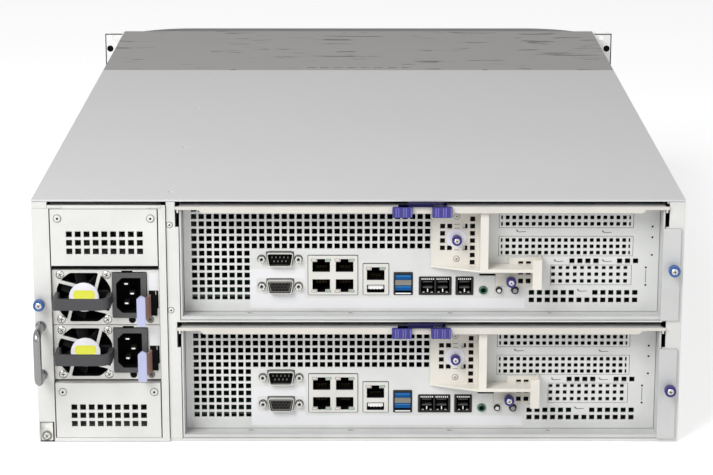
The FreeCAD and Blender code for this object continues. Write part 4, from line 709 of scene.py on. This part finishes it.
def build_slot_covers(body, anchor):
    """The three expansion-slot blanks, and the bars of the panel's rows."""
    piece = Piece(body + "_slot_blanks", body, anchor)
    holes = [(COVER_HOLES_START + i * COVER_PITCH, COVER_HOLE) for i in range(COVER_COLUMNS)]
    cut_holes = [(holes[0][0] - 3.9, 1.2), (holes[-1][0] + 3.6, 1.2)]
    for z, rows in COVER_ROWS.items():
        slot_cover(piece, COVER_X, z, rows, holes + cut_holes)
    thin = [(THIN_COVER_START + i * THIN_COVER_PITCH, COVER_HOLE) for i in range(THIN_COVER_COLUMNS)]
    slot_cover(piece, THIN_COVER_X, THIN_COVER_Z, THIN_COVER_ROWS, thin)
    for z, runs in SIDE_ROWS.items():
        for start, count in runs:
            bar_row(piece, start, count, HOLE_PITCH, SIDE_HOLE, about(z, SIDE_HOLE))
    piece.done("panel_steel", body + "_slot_covers")
    bars = Piece(body + "_vent_bars", body, anchor)
    for columns, z in zip(VENT_COLUMNS, (VENT_WIDE, VENT_LOW)):
        bar_row(bars, VENT_LEFT + VENT_HOLE / 2, columns, VENT_PITCH, VENT_HOLE, z)
    bars.done("panel_steel")


def build_panel_marks(body, anchor):
    """Pierced dots, a thin slot and the embossed corner tabs of the rear panel, and dark squares of painted
    shade behind the bracket's holes.
    """
    piece = Piece(body + "_panel_marks", body, anchor)
    for x, z in PIERCED_DOTS:
        piece.plug(x, z, 0.75, (-SKIN, 0.4), "socket_black")
    piece.box(about(THIN_SLOT_X, 0.5), (-SKIN, 0.4), (22.0, 31.5), "shade_grey")
    for x, z in EMBOSSED_TABS:
        piece.sheet([[(x - 3.4, z), (x - 1.6, z - 0.7), (x + 3.2, z - 0.4), (x + 3.2, z), (x - 1.5, z - 0.2),
                      (x - 3.3, z + 1.6)]], (-0.15, 0.4), "shade_grey")
    # painted shade: black squares on the panel behind the bracket's holes
    for (x, z), (wide, high) in PAINTED_SHADE_SQUARES:
        piece.box(about(x, wide), (-0.2, 0.3), about(z, high), "socket_black")
    piece.done("panel_steel")


def d_outline(x, z, margin):
    """The rounded D-shaped outline of a shielded connector, wide edge up."""
    w, h = (side / 2 + margin for side in SHELL)
    foot = w - SHELL_TAPER
    corners = [(x - foot, z - h), (x + foot, z - h), (x + w, z + h), (x - w, z + h)]
    return rounded(corners, max(0.6, 1.8 + margin))


def display_connector(piece, z, rows, pitch, male):
    """A D-shaped connector with pins or with a moulded insert of holes."""
    x = DISPLAY_X
    piece.sheet([d_outline(x, z, 0), d_outline(x, z, -0.6)], (-DISPLAY_STAND, 1.3), "port_metal")
    piece.sheet([d_outline(x, z, -0.6)], (-0.4, 1.3), "socket_black")
    piece.sheet([d_outline(x, z, 0.7), d_outline(x, z, 0)], (-0.3, 0), "inlet_grey")
    if not male:
        piece.sheet([d_outline(x, z, -1.3)], (-DISPLAY_STAND + 0.5, 0), "insert_grey")
        piece.sheet([d_outline(x, z, -1.8)], (-DISPLAY_STAND + 0.4, 0), "insert_dark")
    pin = [(0, -3.2), (0.3, -3.0), (0.45, -2.4), (0.45, 0)]
    hole = (-DISPLAY_STAND + 0.35, -DISPLAY_STAND + 1)
    for count, rise, shift in rows:
        for i in range(count):
            px = x + (i - (count - 1) / 2) * pitch + shift
            if male:
                piece.turned(px, z + rise, pin, "insert_grey", 10)
            else:
                piece.plug(px, z + rise, 0.66, hole, "socket_black", 10)
    for side in (-1, 1):
        sx = x + side * JACK_SCREW_OFFSET
        piece.sheet([circle(sx, z, 2.5, 6), circle(sx, z, 1.25, 16)], (-3.0, -0.1), "screw_steel")
        piece.ring(sx, z, (3.0, 2.4), (-0.25, -0.1), "inlet_grey")
        piece.plug(sx, z, 1.25, (-1.8, -1.3), "insert_grey", 16)
        piece.plug(sx, z, 0.7, (-1.9, -1.3), "socket_black", 16)


def jack_outline(x, z, up):
    """A modular jack's opening with its stepped catch notch above or below."""
    w, h = JACK
    notch, rise = JACK_NOTCH
    half = [(w / 2, h), (notch / 2, h), (notch / 2, h + rise)]
    right = [(x + w / 2 + dx, dz) for dx, dz in half]
    left = [(x + w / 2 - dx, dz) for dx, dz in reversed(half)]
    loop = [(x, 0.0), (x + w, 0.0)] + right + left
    return [(px, z + pz if up else z + h - pz) for px, pz in loop]


def modular_jack(piece, x, z, up):
    """A modular jack's spring contacts and its two status lamps."""
    w, h = JACK
    floor, way = (z, 1) if up else (z + h, -1)
    for i in range(8):
        cx = x + w / 2 + (i - 3.5) * 1.02
        spring = [(cx, y, floor + rise * way) for y, rise in ((11.0, 0.4), (5.0, 0.6), (3.0, 3.4))]
        piece.tube(spring, 0.18, "contact_gold", 1)
    lamp_z = z + h + 1.3 if up else z - 1.3
    for side, glass in ((-1, "lamp_clear"), (1, "lamp_green")):
        lamp_x = x + w / 2 + side * 5.0
        piece.box(about(lamp_x, 3.7), (-PORT_STAND - SKIN, 1), about(lamp_z, 1.9), "insert_grey")
        piece.box(about(lamp_x, 2.9), (-PORT_STAND - 0.12, 1), about(lamp_z, 1.3), glass)


def shielded_block(piece, x, z, openings, shell):
    """A connector block: a shell with openings over a black moulding of the same openings."""
    piece.plate(x, z, 0.5, (-PORT_STAND, -PORT_STAND + FRAME_SHEET), shell, openings)
    inner = rect(grown(x, -0.1), grown(z, -0.1))
    piece.sheet([inner] + openings, (-PORT_STAND + FRAME_SHEET, PORT_DEPTH - 1), "socket_black")
    piece.box(grown(x, -0.1), (PORT_DEPTH - 1, PORT_DEPTH), grown(z, -0.1), "socket_black")
    piece.sheet([rounded(rect(grown(x, 0.45), grown(z, 0.45)), 0.8), rounded(rect(x, z), 0.5)],
                (-SKIN, 0.2), "inlet_grey")


def usb_opening(x, z):
    """The rectangle of a USB socket."""
    return rounded(rect(x, (z, z + USB_OPENING)), 0.4, 2)


def network_and_combo(piece):
    """The four network jacks, and the management jack over its USB socket."""
    openings = []
    for x in (NETWORK_X[0] + JACK_INSET, NETWORK_X[1] - JACK_INSET - JACK[0]):
        for z, up in ((PORT_RISE + JACK_FLOOR, False), (NETWORK_TOP - JACK_DROP, True)):
            openings.append(jack_outline(x, z, up))
            modular_jack(piece, x, z, up)
    shielded_block(piece, NETWORK_X, (PORT_RISE, NETWORK_TOP), openings, "port_metal")
    left = COMBO_X[0] + COMBO_LEFT
    floor = COMBO_TOP - JACK_DROP
    modular_jack(piece, left, floor, True)
    tongue_x = (left, left + JACK[0])
    openings = [jack_outline(left, floor, True), usb_opening(tongue_x, PORT_RISE + COMBO_USB_FLOOR)]
    shielded_block(piece, COMBO_X, (PORT_RISE, COMBO_TOP), openings, "port_metal")
    piece.box(grown(tongue_x, -0.7), (0.6, 8), (PORT_RISE + 3.9, PORT_RISE + 6.4), "usb_white")
    for i in range(4):
        cx = sum(tongue_x) / 2 + (i - 1.5) * 2.2
        piece.box(about(cx, 1.0), (0.8, 7), (PORT_RISE + 3.4, PORT_RISE + 3.9), "contact_steel")


def usb_pair(piece):
    """Two blue-tongued sockets, one over the other."""
    rises = [PORT_RISE + floor for floor in USB_FLOORS]
    mouth = grown(USB_X, -0.6)
    shielded_block(piece, USB_X, (PORT_RISE, USB_TOP), [usb_opening(mouth, z) for z in rises], "insert_dark")
    for z in rises:
        piece.box(grown(mouth, -0.2), (-0.4, 9), (z + 1.7, z + 5.3), "usb_blue")
        # painted highlight: a lighter blue band across each tongue's face, standing in for light on it
        piece.box(grown(mouth, -0.5), (-0.46, 0), (z + 4.0, z + 4.6), "usb_blue_painted_highlight")
    front = (-PORT_STAND - SKIN, 0)
    piece.box(grown(mouth, -0.2), front, (rises[0] + USB_OPENING, rises[1] + 1.5), "insert_grey")
    piece.box(grown(mouth, -0.4), front, (PORT_RISE + 0.5, PORT_RISE + 1.4), "contact_steel")


def storage_sockets(piece):
    """Three storage sockets: a pair in one shell and one alone."""
    middle = sum(STORAGE_PAIR_X) / 2
    side, wall = STORAGE_WALL
    pair = [(STORAGE_PAIR_X[0] + side, middle - side / 2), (middle + side / 2, STORAGE_PAIR_X[1] - side)]
    single = grown(STORAGE_SINGLE_X, -side)
    z = (PORT_RISE + wall, STORAGE_TOP - wall)
    shielded_block(piece, STORAGE_PAIR_X, (PORT_RISE, STORAGE_TOP), [rect(x, z) for x in pair], "insert_dark")
    shielded_block(piece, STORAGE_SINGLE_X, (PORT_RISE, STORAGE_TOP), [rect(single, z)], "insert_dark")
    for x in pair + [single]:
        for rise in (PORT_RISE + 4.4, PORT_RISE + 8.6):
            piece.box(grown(x, -1.2), (2.5, PORT_DEPTH), about(rise, 1.1), "inlet_grey")
        teeth = 7
        for i in range(teeth):
            cx = x[0] + (i + 0.5) * (x[1] - x[0]) / teeth
            piece.box(about(cx, 0.7), (-PORT_STAND - 0.2, 0.6), (z[1] - 0.3, z[1] + 0.7), "contact_steel")
        piece.box(about(sum(x) / 2, 0.7), (0.4, 4), (z[0], z[0] + 2.6), "contact_steel")
        for way in (-1, 1):
            piece.box(about(sum(x) / 2 + way * 2.8, 1.4), (-0.2, 3), (z[0], z[0] + 0.5), "contact_steel")


def build_ports(body, anchor):
    """Every connector on the board's rear edge."""
    piece = Piece(body + "_connectors", body, anchor)
    display_connector(piece, DISPLAY_RISES[1], ((5, 1.5, 0), (4, -1.3, 0)), 2.75, True)
    display_connector(piece, DISPLAY_RISES[0], ((5, 2.0, 0), (5, 0.0, -1.1), (5, -2.0, 0)), 2.3, False)
    network_and_combo(piece)
    usb_pair(piece)
    storage_sockets(piece)
    piece.turned(AUDIO_X, SMALL_ROW_RISE, [(1.75, 6), (1.75, -1.6), (2.1, -1.8), (2.6, -1.5), (2.6, 1)],
                 "audio_green", 28, closed=False)
    piece.plug(AUDIO_X, SMALL_ROW_RISE, 1.74, (-0.6, 4), "socket_black", 28)
    piece.ring(AUDIO_X, SMALL_ROW_RISE, (3.1, 2.6), (-0.3, 0), "insert_grey")
    piece.done("port_metal", body + "_ports")


def build_label(body, anchor):
    """Blank label film: a strip under the ports that widens round the lower display socket."""
    piece = Piece(body + "_blank_label", body, anchor)
    left, right, step = LABEL_X
    bottom, top, step_top = LABEL_Z
    outline = [(left, bottom), (right, bottom), (right, top), (step, top), (step, step_top), (left, step_top)]
    hole = rounded(rect(about(DISPLAY_X, 33.0), about(DISPLAY_RISES[0], 11.2)), 2.0)
    piece.sheet([outline, hole], (-0.12, -0.01), "label_film")
    piece.done("panel_steel")


def build_buttons(body, anchor):
    """The power and function buttons, each with a domed cap, and a collar behind the panel."""
    for name, (x, radius), cap in (("power", POWER, "button_plastic"),
                                   ("function", FUNCTION, "screw_steel")):
        piece = Piece(body + "_" + name + "_cap", body + "_" + name, anchor)
        collar = radius + 0.8
        stem = [(radius * 0.8, -2.3), (radius * 0.95, -2.2), (radius, -1.9), (radius, 1.3), (collar, 1.3),
                (collar, 2.3), (radius, 2.3), (radius, 4.3)]
        piece.turned(x, SMALL_ROW_RISE, stem, "insert_dark", 32)
        dome = [(0, -2.4), (radius * 0.4, -2.38), (radius * 0.62, -2.33), (radius * 0.7, -2.2)]
        piece.turned(x, SMALL_ROW_RISE, dome, cap, 24)
        piece.done("button_plastic", body + "_" + name + "_button")


def build_bracket_marks(body, anchor):
    """Knobs of the riser bracket, their washers, and the bracket's embossed marks."""
    marks = Piece(body + "_bracket_marks", body, anchor)
    y = BRACKET_FACE
    knob_x, knob_z = BRACKET_KNOBS[0]
    marks.turned(knob_x, knob_z, [(4.5, y - 0.5), (6.5, y - 0.4), (6.9, y)], "hub_film", 40)
    for z in BRACKET_SCREWS_Z:
        marks.turned(knob_x, z, [(1.0, y - 0.5), (1.7, y - 0.4), (2.0, y)], "bracket_steel", 24)
        marks.ring(knob_x, z, (2.3, 1.95), (y - SKIN, y + 0.1), "shade_grey")
        cross_recess(marks, knob_x, z, y - 0.5, 0.9, 30)
    for row in (HOLE_ROWS[1], HOLE_ROWS[4]):
        for z in (row - 1.4, row + 1.4):
            marks.box(about(knob_x + 0.2, 3.4), (y - SKIN, y + 0.1), about(z, 0.45), "shade_grey")
    marks.done("bracket_steel")
    piece = Piece(body + "_bracket_knobs", body, anchor)
    for x, z in BRACKET_KNOBS:
        thumbscrew(piece, x, z, y, *BRACKET_KNOB, "violet_knob", 30)
        piece.turned(x, z, [(SHANK_RADIUS, y - 0.1), (SHANK_RADIUS, 4.0), (0.9, 4.5)], "screw_steel", 16)
    piece.done("violet_knob", body + "_bracket_thumbscrews")


def build_painted_shade_strips(body):
    """Painted shade: a black strip on the lid's step, and one under the tray's rear edge, for the shade of
    the gaps there.
    """
    low, size = corner_of(body + "_lid")
    piece = Piece(body + "_painted_shade_strips", body, low)
    width = (0.5, size.x - 0.5)
    step, rise = LID_STEP
    # painted shade: black strips standing in for the dark gaps at the lid's step and under the tray
    piece.box(width, (step - 0.35, step + 0.1), (size.z - rise + 0.1, size.z - 0.2), "socket_black")
    floor = (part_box(body + "_tray")[0].z - low.z) / MM
    piece.box(width, (0.3, 3.0), (floor - 0.34, floor + 0.1), "socket_black")
    piece.done("panel_steel")


def build_tray_marks(body, anchor):
    """Half-round embossed stops along the tray's rear edge."""
    piece = Piece(body + "_tray_marks", body, anchor)
    for x in TRAY_MARKS_X:
        arch, inner = (arc(x, -TRAY_MARK_SETBACK, radius, 0, 180, 12) for radius in TRAY_MARK_RADII)
        piece.slab([arch], (TRAY_FLOOR - 0.1, TRAY_FLOOR + SKIN), "shade_grey")
        # the stop itself is in the tray's darker steel, which is painted shade
        piece.slab([arch + inner[::-1]], (TRAY_FLOOR, TRAY_FLOOR + 0.5), "tray_steel_painted_shade")
    piece.done("panel_steel")


def build_latch(body, side):
    """A ribbed finger pad hooked over the lever bar."""
    node = body + "_latch_" + side
    low, size = corner_of(node)
    piece = Piece(node + "_ribbed", body + "_pad_" + side, low)
    finish = "latch_plastic"
    left = side == "left"
    start = 0 if left else size.x - PAD_WIDTH
    end = start + PAD_WIDTH
    hook_x = (PAD_INSET, PAD_WIDTH - PAD_TRAVEL) if left else (end - PAD_INSET - 2 * TONGUE, end - PAD_INSET)
    tongue_x = (PAD_INSET, size.x) if left else (0, end - PAD_INSET)
    top = (size.z - TONGUE, size.z)
    piece.plate((start, end), (0, PAD_HEIGHT), 1.0, (0.5, PAD_DEPTH), finish)
    ribs = 8
    for i in range(ribs):
        middle = start + (i + 0.5) * PAD_WIDTH / ribs
        # painted highlight: most ribs are a lighter copy of the pad's plastic, standing in for light on their
        # tops
        piece.box(about(middle, 0.8), (0.0, 0.6), (0.6, PAD_HEIGHT - 0.6), "rib_violet_painted_highlight" if i % 3 else finish)
    # painted shade: the hook and the tongue over the bar are a darker copy of the pad's plastic, for the
    # shade under the cover's lip
    piece.box(hook_x, (0.6, PAD_DEPTH), (PAD_HEIGHT - 0.3, size.z), "tongue_violet_painted_shade")
    piece.box(tongue_x, (0.6, size.y), top, "tongue_violet_painted_shade")
    piece.done("latch_plastic", node, bevel=0.12)


def build_canister(letter):
    """All the detailed pieces of one canister."""
    body = "canister_" + letter
    anchor = (0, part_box(body + "_rear_panel")[0].y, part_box(body + "_tray")[0].z)
    for build in (build_slot_covers, build_panel_marks, build_ports, build_label, build_buttons,
                  build_bracket_marks, build_tray_marks):
        build(body, anchor)
    build_painted_shade_strips(body)
    ring = "blue_knob" if letter == "b" else "violet_knob"
    build_knob(body + "_flange_thumbscrew", body + "_screw", ring, 10)
    for side in ("left", "right"):
        build_latch(body, side)


# ---- power column ----
def build_handle():
    """The chrome pull handle, in turned feet."""
    low, size = corner_of("cage_handle")
    piece = Piece("cage_handle_rod", "power_column", low)
    radius, foot, bend = 2.8, 3.8, 5.2
    bottom, top = foot, size.z - foot
    knee = radius + bend
    route = [(size.y - 0.2, top)] + arc(knee, top - bend, bend, 90, 90, 8)
    route += arc(knee, bottom + bend, bend, 180, 90, 8) + [(size.y - 0.2, bottom)]
    piece.tube([(foot, y, z) for y, z in route], radius, "handle_chrome", 8)
    for z in (bottom, top):
        collar = [(2.9, size.y - 2.6), (3.5, size.y - 2.0), (3.78, size.y - 1.2), (3.78, size.y)]
        piece.turned(foot, z, collar, "handle_chrome", 32)
    piece.done("handle_chrome", "cage_handle")


def build_terminal():
    """The earth plate with its screw and star washer, over a black block that is a painted shadow round its
    lower and right edges.
    """
    low, size = corner_of("ground_terminal")
    piece = Piece("ground_terminal_plate", "power_column", low)
    piece.plate((0, size.x), (0, size.z), 0.4, (1.6, size.y), "plated")
    middle, rise = size.x / 2, 3.6
    piece.ring(middle, rise, (3.5, 1.6), (1.3, 1.7), "insert_grey", 16)
    pan_screw(piece, middle, rise, 1.5, 2.9, 1.5, 40)
    # painted shadow: a black block behind the plate
    piece.box((-0.5, size.x + 0.8), (size.y - 0.2, size.y), (-1.2, size.z + 0.2), "socket_black")
    piece.done("chassis_steel", "ground_terminal", bevel=0.15)


def build_fillers():
    """The blanks' screws, the small tabs over the upper blank, and a black strip under it that is painted
    shade.
    """
    upper, upper_size = corner_of("filler_panel_upper")
    piece = Piece("filler_screw_heads", "power_column", upper)
    lower = (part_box("filler_panel_lower")[0].z - upper.z) / MM
    for base in (0, lower):
        z = base + upper_size.z - FILLER_SCREW_DROP
        for x in FILLER_SCREWS_X:
            flush_screw(piece, x, z, 0, FILLER_SCREW_RADIUS, "insert_grey")
    piece.done("screw_steel", "filler_screws")
    tabs = Piece("column_tabs", "power_column", upper)
    tab_z = (upper_size.z + 1.2, upper_size.z + 2.6)
    for x in COLUMN_TABS_X:
        tabs.plate(x, tab_z, 0.3, (-0.7, 0), "chassis_steel")
    # painted shade: a black strip for the shaded gap between the upper blank and the supply below
    tabs.box((0, 72.9), (3.0, 3.6), (-2.7, -0.2), "socket_black")
    tabs.done("chassis_steel")


def fan_bore_outline(x, z, inset):
    """The fan's round bore, trimmed flat on all four sides."""
    points = circle(0, 0, FAN_BORE - inset, 72)
    half = [flat - inset for flat in FAN_FLATS]
    return [(x + max(-half[0], min(half[0], px)), z + max(-half[1], min(half[1], pz))) for px, pz in points]


def build_supply(number):
    """Details of one power supply."""
    body = "psu_" + str(number)
    low, size = corner_of(body + "_case")
    fan_x, fan_z = FAN_X, size.z / 2
    face = Piece(body + "_face", body, low)
    for dx in (-FAN_SCREW_OFFSET, FAN_SCREW_OFFSET):
        for dz in (-FAN_SCREW_OFFSET, FAN_SCREW_OFFSET):
            pan_screw(face, fan_x + dx, fan_z + dz, 0, *FAN_SCREW, 35 + dx + dz)
    face.done("screw_steel", body + "_screws")

    marks = Piece(body + "_marks", body, low)
    bore = fan_bore_outline(fan_x, fan_z, 0.05)
    marks.sheet([bore, fan_bore_outline(fan_x, fan_z, 0.3)], (0.3, FAN_DEPTH - 0.1), "socket_black")
    marks.sheet([bore, circle(fan_x, fan_z, 1.9)], (FAN_DEPTH - 0.25, FAN_DEPTH - 0.05), "socket_black")
    marks.turned(fan_x, fan_z, [(0, -0.3), (9.6, -0.3), (10.2, -0.05), (10.2, 0.5)], "hub_film", 48)
    marks.plate(about(fan_x, 15.0), about(fan_z + 1.7, 6.7), 2.6, (-0.36, -0.28), "label_yellow")
    marks.plate(*PSU_LABEL, 0.4, (-0.1, 0), "label_film")
    # painted shade: a flat black sheet for the shaded opening beside the inlet
    marks.sheet([rect(*PSU_SHADE)], (-SKIN, 0.1), "socket_black")
    marks.box(PSU_FOLD[0], (-SKIN - 0.05, 0.1), PSU_FOLD[1], "psu_metal")
    marks.plug(*PSU_HOLE, 2.3, (-SKIN, 0.3), "socket_black", 28)
    marks.ring(*PSU_HOLE, (2.55, 2.25), (-0.08, 0.1), "shade_grey")
    marks.turned(*PSU_SCREW, [(0, -0.5), (1.8, -0.45), (2.5, -0.2), (2.7, 0)], "insert_grey", 28)
    cross_recess(marks, *PSU_SCREW, -0.5, 1.4, 30)
    marks.box(PSU_TOP_GAP, (-SKIN, 0.1), (37.3, 38.7), "socket_black")
    for x in PSU_TOP_LIPS:
        marks.box(x, (-0.6, 0.1), (37.9, 38.8), "psu_metal")
    marks.done("psu_metal")

    build_inlet(body)
    build_grip(body)
    build_release(body)


def build_inlet(body):
    """The three-pin mains inlet with its cut-cornered mouth."""
    low, size = corner_of(body + "_inlet")
    piece = Piece(body + "_inlet_socket", body, low)
    x, z = INLET_MOUTH
    cut = INLET_CUT
    mouth = [(x[0] + cut, z[0]), (x[1], z[0]), (x[1], z[1]), (x[0] + cut, z[1]), (x[0], z[1] - cut),
             (x[0], z[0] + cut)]
    piece.plate((0, size.x), (0, size.z), 0.6, (0, 1.2), "inlet_grey", [mouth])
    inner_x, inner_z = (0.1, size.x - 0.1), (0.1, size.z - 0.1)
    piece.sheet([rect(inner_x, inner_z), mouth], (1.2, INLET_DEPTH), "socket_black")
    piece.box(inner_x, (INLET_DEPTH, size.y), inner_z, "socket_black")
    middle = sum(x) / 2
    for side in (-1, 0, 1):
        px, pz = middle + 2.0 * (1 - 2 * abs(side)), size.z / 2 + 7.0 * side
        piece.plate(about(px, 3.9), about(pz, 1.8), 0.4, (5.4, INLET_DEPTH + 0.1), "insert_dark")
        piece.plate(about(px, 2.4), about(pz, 1.0), 0.3, (4.9, 6.0), "contact_steel")
    piece.done("black_plastic", body + "_inlet", bevel=0.15)


def build_grip(body):
    """The moulded carrying bar in front of the fan, round at its right end."""
    low, size = corner_of(body + "_grip")
    piece = Piece(body + "_grip_bar", body, low)
    width, depth, bar, leg, turn = size.x, size.y, 3.6, 2.9, 8.0
    outer = [(0, depth), (0, 1.5), (1.5, 0)] + arc(width - turn, turn, turn, -90) + [(width, depth)]
    inner = [(width - leg, depth)] + arc(width - turn, turn + 0.3, turn - leg, -90)[::-1]
    inner += [(leg + 0.8, bar), (leg, bar + 0.8), (leg, depth)]
    piece.slab([outer + inner], (0, size.z), "black_plastic")
    piece.done("black_plastic", body + "_grip", bevel=0.35)


def build_release(body):
    """The release tab: a lilac thumb pad on a brown bent root, with a black block behind it that is painted
    shade of the slot.
    """
    low, size = corner_of(body + "_latch")
    piece = Piece(body + "_release_tab", body + "_release", low)
    sheet = 1.6
    pad = rounded([(0, 0), (6.0, 0), (6.0, size.z - 1.6), (3.0, size.z), (0, size.z - 2.4)], 0.7)
    piece.sheet([pad], (0, sheet), "latch_lilac")
    knee = size.y - 2 * sheet
    root = [(5.9, 0.1), (9.0, knee), (9.0, size.y), (7.4, size.y), (7.4, knee), (4.7, sheet)]
    piece.slab([root], (4.6, size.z - 2.4), "latch_brown")
    # painted shade: a black block for the shaded slot behind the root
    piece.box((7.5, size.x), (size.y - sheet + 0.1, size.y), (4.8, size.z - 2.6), "socket_black")
    piece.done("latch_plastic", body + "_latch", bevel=0.2)


# ---- chassis ----
def build_chassis_screws():
    """Round heads in the divider strip and in both ear legs."""
    piece = Piece("chassis_screw_heads", "chassis")
    divider = corners_of("bay_divider")[0]
    base = corners_of("canister_b_tray")[0].z
    for rise in DIVIDER_SCREW_RISES:
        flush_screw(piece, divider.x + DIVIDER_SCREW_INSET, base + rise, divider.y, DIVIDER_SCREW_RADIUS,
                    "inlet_grey")
    low, high = corners_of("rack_ear_right")
    middle = (low.y + high.y) / 2
    for share in EAR_SCREW_SHARES:
        rise = share * CAD_HIGH.z / MM
        for way in (-1, 1):
            piece.swung(90 * way, (way * (low.x + EAR_LEG_SHEET), middle, 0),
                        lambda: pan_screw(piece, 0, rise, 0, *EAR_SCREW, 15))
    piece.done("screw_steel", "chassis_screws")


def build_ear_trim():
    """Dark plugs in the ears' round holes, and the dark rolled edge along each ear's top and side."""
    low, high = corners_of("rack_ear_right")
    piece = Piece("ear_trim", "chassis")
    inner, edge, y, top = low.x + 0.2, high.x, high.y, high.z - EAR_TOOTH
    rim = (y - 2.1, y - 1.9)
    for way in (-1, 1):
        hole = circle(way * (edge - EAR_HOLE_INSET), top - EAR_HOLE_DROP, 3.05, 32)
        piece.sheet([hole], (y - 1.6, y - 0.6), "socket_black")
        piece.box(sorted((way * inner, way * edge)), rim, (top - EAR_RIM, top), "socket_black")
        piece.box(sorted((way * (edge - EAR_RIM), way * edge)), rim, (0.6, top), "socket_black")
    piece.done("ear_steel")


def build_front_cover():
    """The cover over the drive bay with a row of slots and two notches along its seam, and black sheets under
    them that are painted shade.
    """
    low, size = corner_of("top_cover_front")
    piece = Piece("front_cover_plate", "chassis", (0, low.y, low.z))
    half = size.x / 2
    notches = []
    for x in SEAM_NOTCHES_X:
        notches += [(x - 3.0, 0), (x - 2.0, 4.2), (x + 2.0, 4.2), (x + 3.0, 0)]
    outline = [(-half, 0)] + notches + [(half, 0), (half, size.y), (-half, size.y)]
    slots = [rounded(rect(about(SEAM_SLOTS_START + SEAM_SLOT_PITCH * i, 7.8), (9.8, 12.6)), 0.9, 2)
             for i in range(8)]
    piece.slab([outline] + slots, (0, size.z), "front_cover_steel")
    # painted shade: black sheets just under the slots and notches
    under = (size.z - 0.7, size.z - 0.6)
    piece.slab([rect((-47, 47), (9, 13.4))], under, "socket_black")
    for x in SEAM_NOTCHES_X:
        piece.slab([rect(about(x, 6.4), (-0.2, 4.4))], under, "socket_black")
    piece.done("front_cover_steel", "top_cover_front")


def drive_front(piece, x, y, z):
    """One drive carrier's front, on the forward face that stands at y."""
    vents = [rect(about(x[0] + 26 + 6.0 * i, 4.0), about(z[0] + 6.5 + 4.4 * j, 2.8)) for i in range(11)
             for j in range(4)]
    piece.plate(grown(x, -0.4), grown(z, -0.4), 1.0, (y, y + 1.4), "drive_plastic", vents)
    piece.plate((x[0] + 4, x[0] + 18), grown(z, -4), 2.0, (y + 1.4, y + 2.8), "carrier_grey")
    piece.plate((x[0] + 19.5, x[1] - 6), (z[1] - 5.6, z[1] - 1.6), 1.2, (y + 1.4, y + 2.6), "carrier_grey")
    piece.plate((x[0] + 7.5, x[0] + 14.5), grown(z, -9), 1.4, (y + 2.8, y + 3.4), "latch_plastic")
    for rise, lamp in ((8.0, "lamp_green"), (14.0, "lamp_clear")):
        piece.sheet([circle(x[1] - 6, z[0] + rise, 1.1, 12)], (y + 1.4, y + 1.7), lamp)


def build_drive_fronts():
    """A vented front, a swing handle, a latch and two lamps on every drive carrier."""
    low, size = corner_of("drive_carriers")
    piece = Piece("drive_fronts", "chassis", low)
    pitch_x = (size.x + DRIVE_GAPS[0]) / DRIVE_COLUMNS
    pitch_z = (size.z + DRIVE_GAPS[1]) / DRIVE_ROWS
    for column in range(DRIVE_COLUMNS):
        for row in range(DRIVE_ROWS):
            left, bottom = column * pitch_x, row * pitch_z
            x = (left, left + pitch_x - DRIVE_GAPS[0])
            z = (bottom, bottom + pitch_z - DRIVE_GAPS[1])
            drive_front(piece, x, size.y, z)
    piece.done("drive_plastic")


# ---- put together ----
def main():
    """Build the whole scene."""
    bpy.context.scene.view_settings.view_transform = "Standard"
    make_camera()
    make_world(0.42)
    make_floor()
    make_lamp("key", (-1.0, -1.6, 1.45), (-0.15, -0.15, 0.1), 1.1, 41)
    make_lamp("fill", (1.6, -2.2, 1.0), (0.1, -0.3, 0.05), 1.6, 10)
    dress_nodes()
    for letter in "ab":
        build_canister(letter)
    for number in (1, 2):
        build_supply(number)
    build_handle()
    build_knob("cage_thumbscrew", "column_screw", "blue_knob", 25)
    build_terminal()
    build_fillers()
    build_chassis_screws()
    build_ear_trim()
    build_front_cover()
    build_drive_fronts()


main()
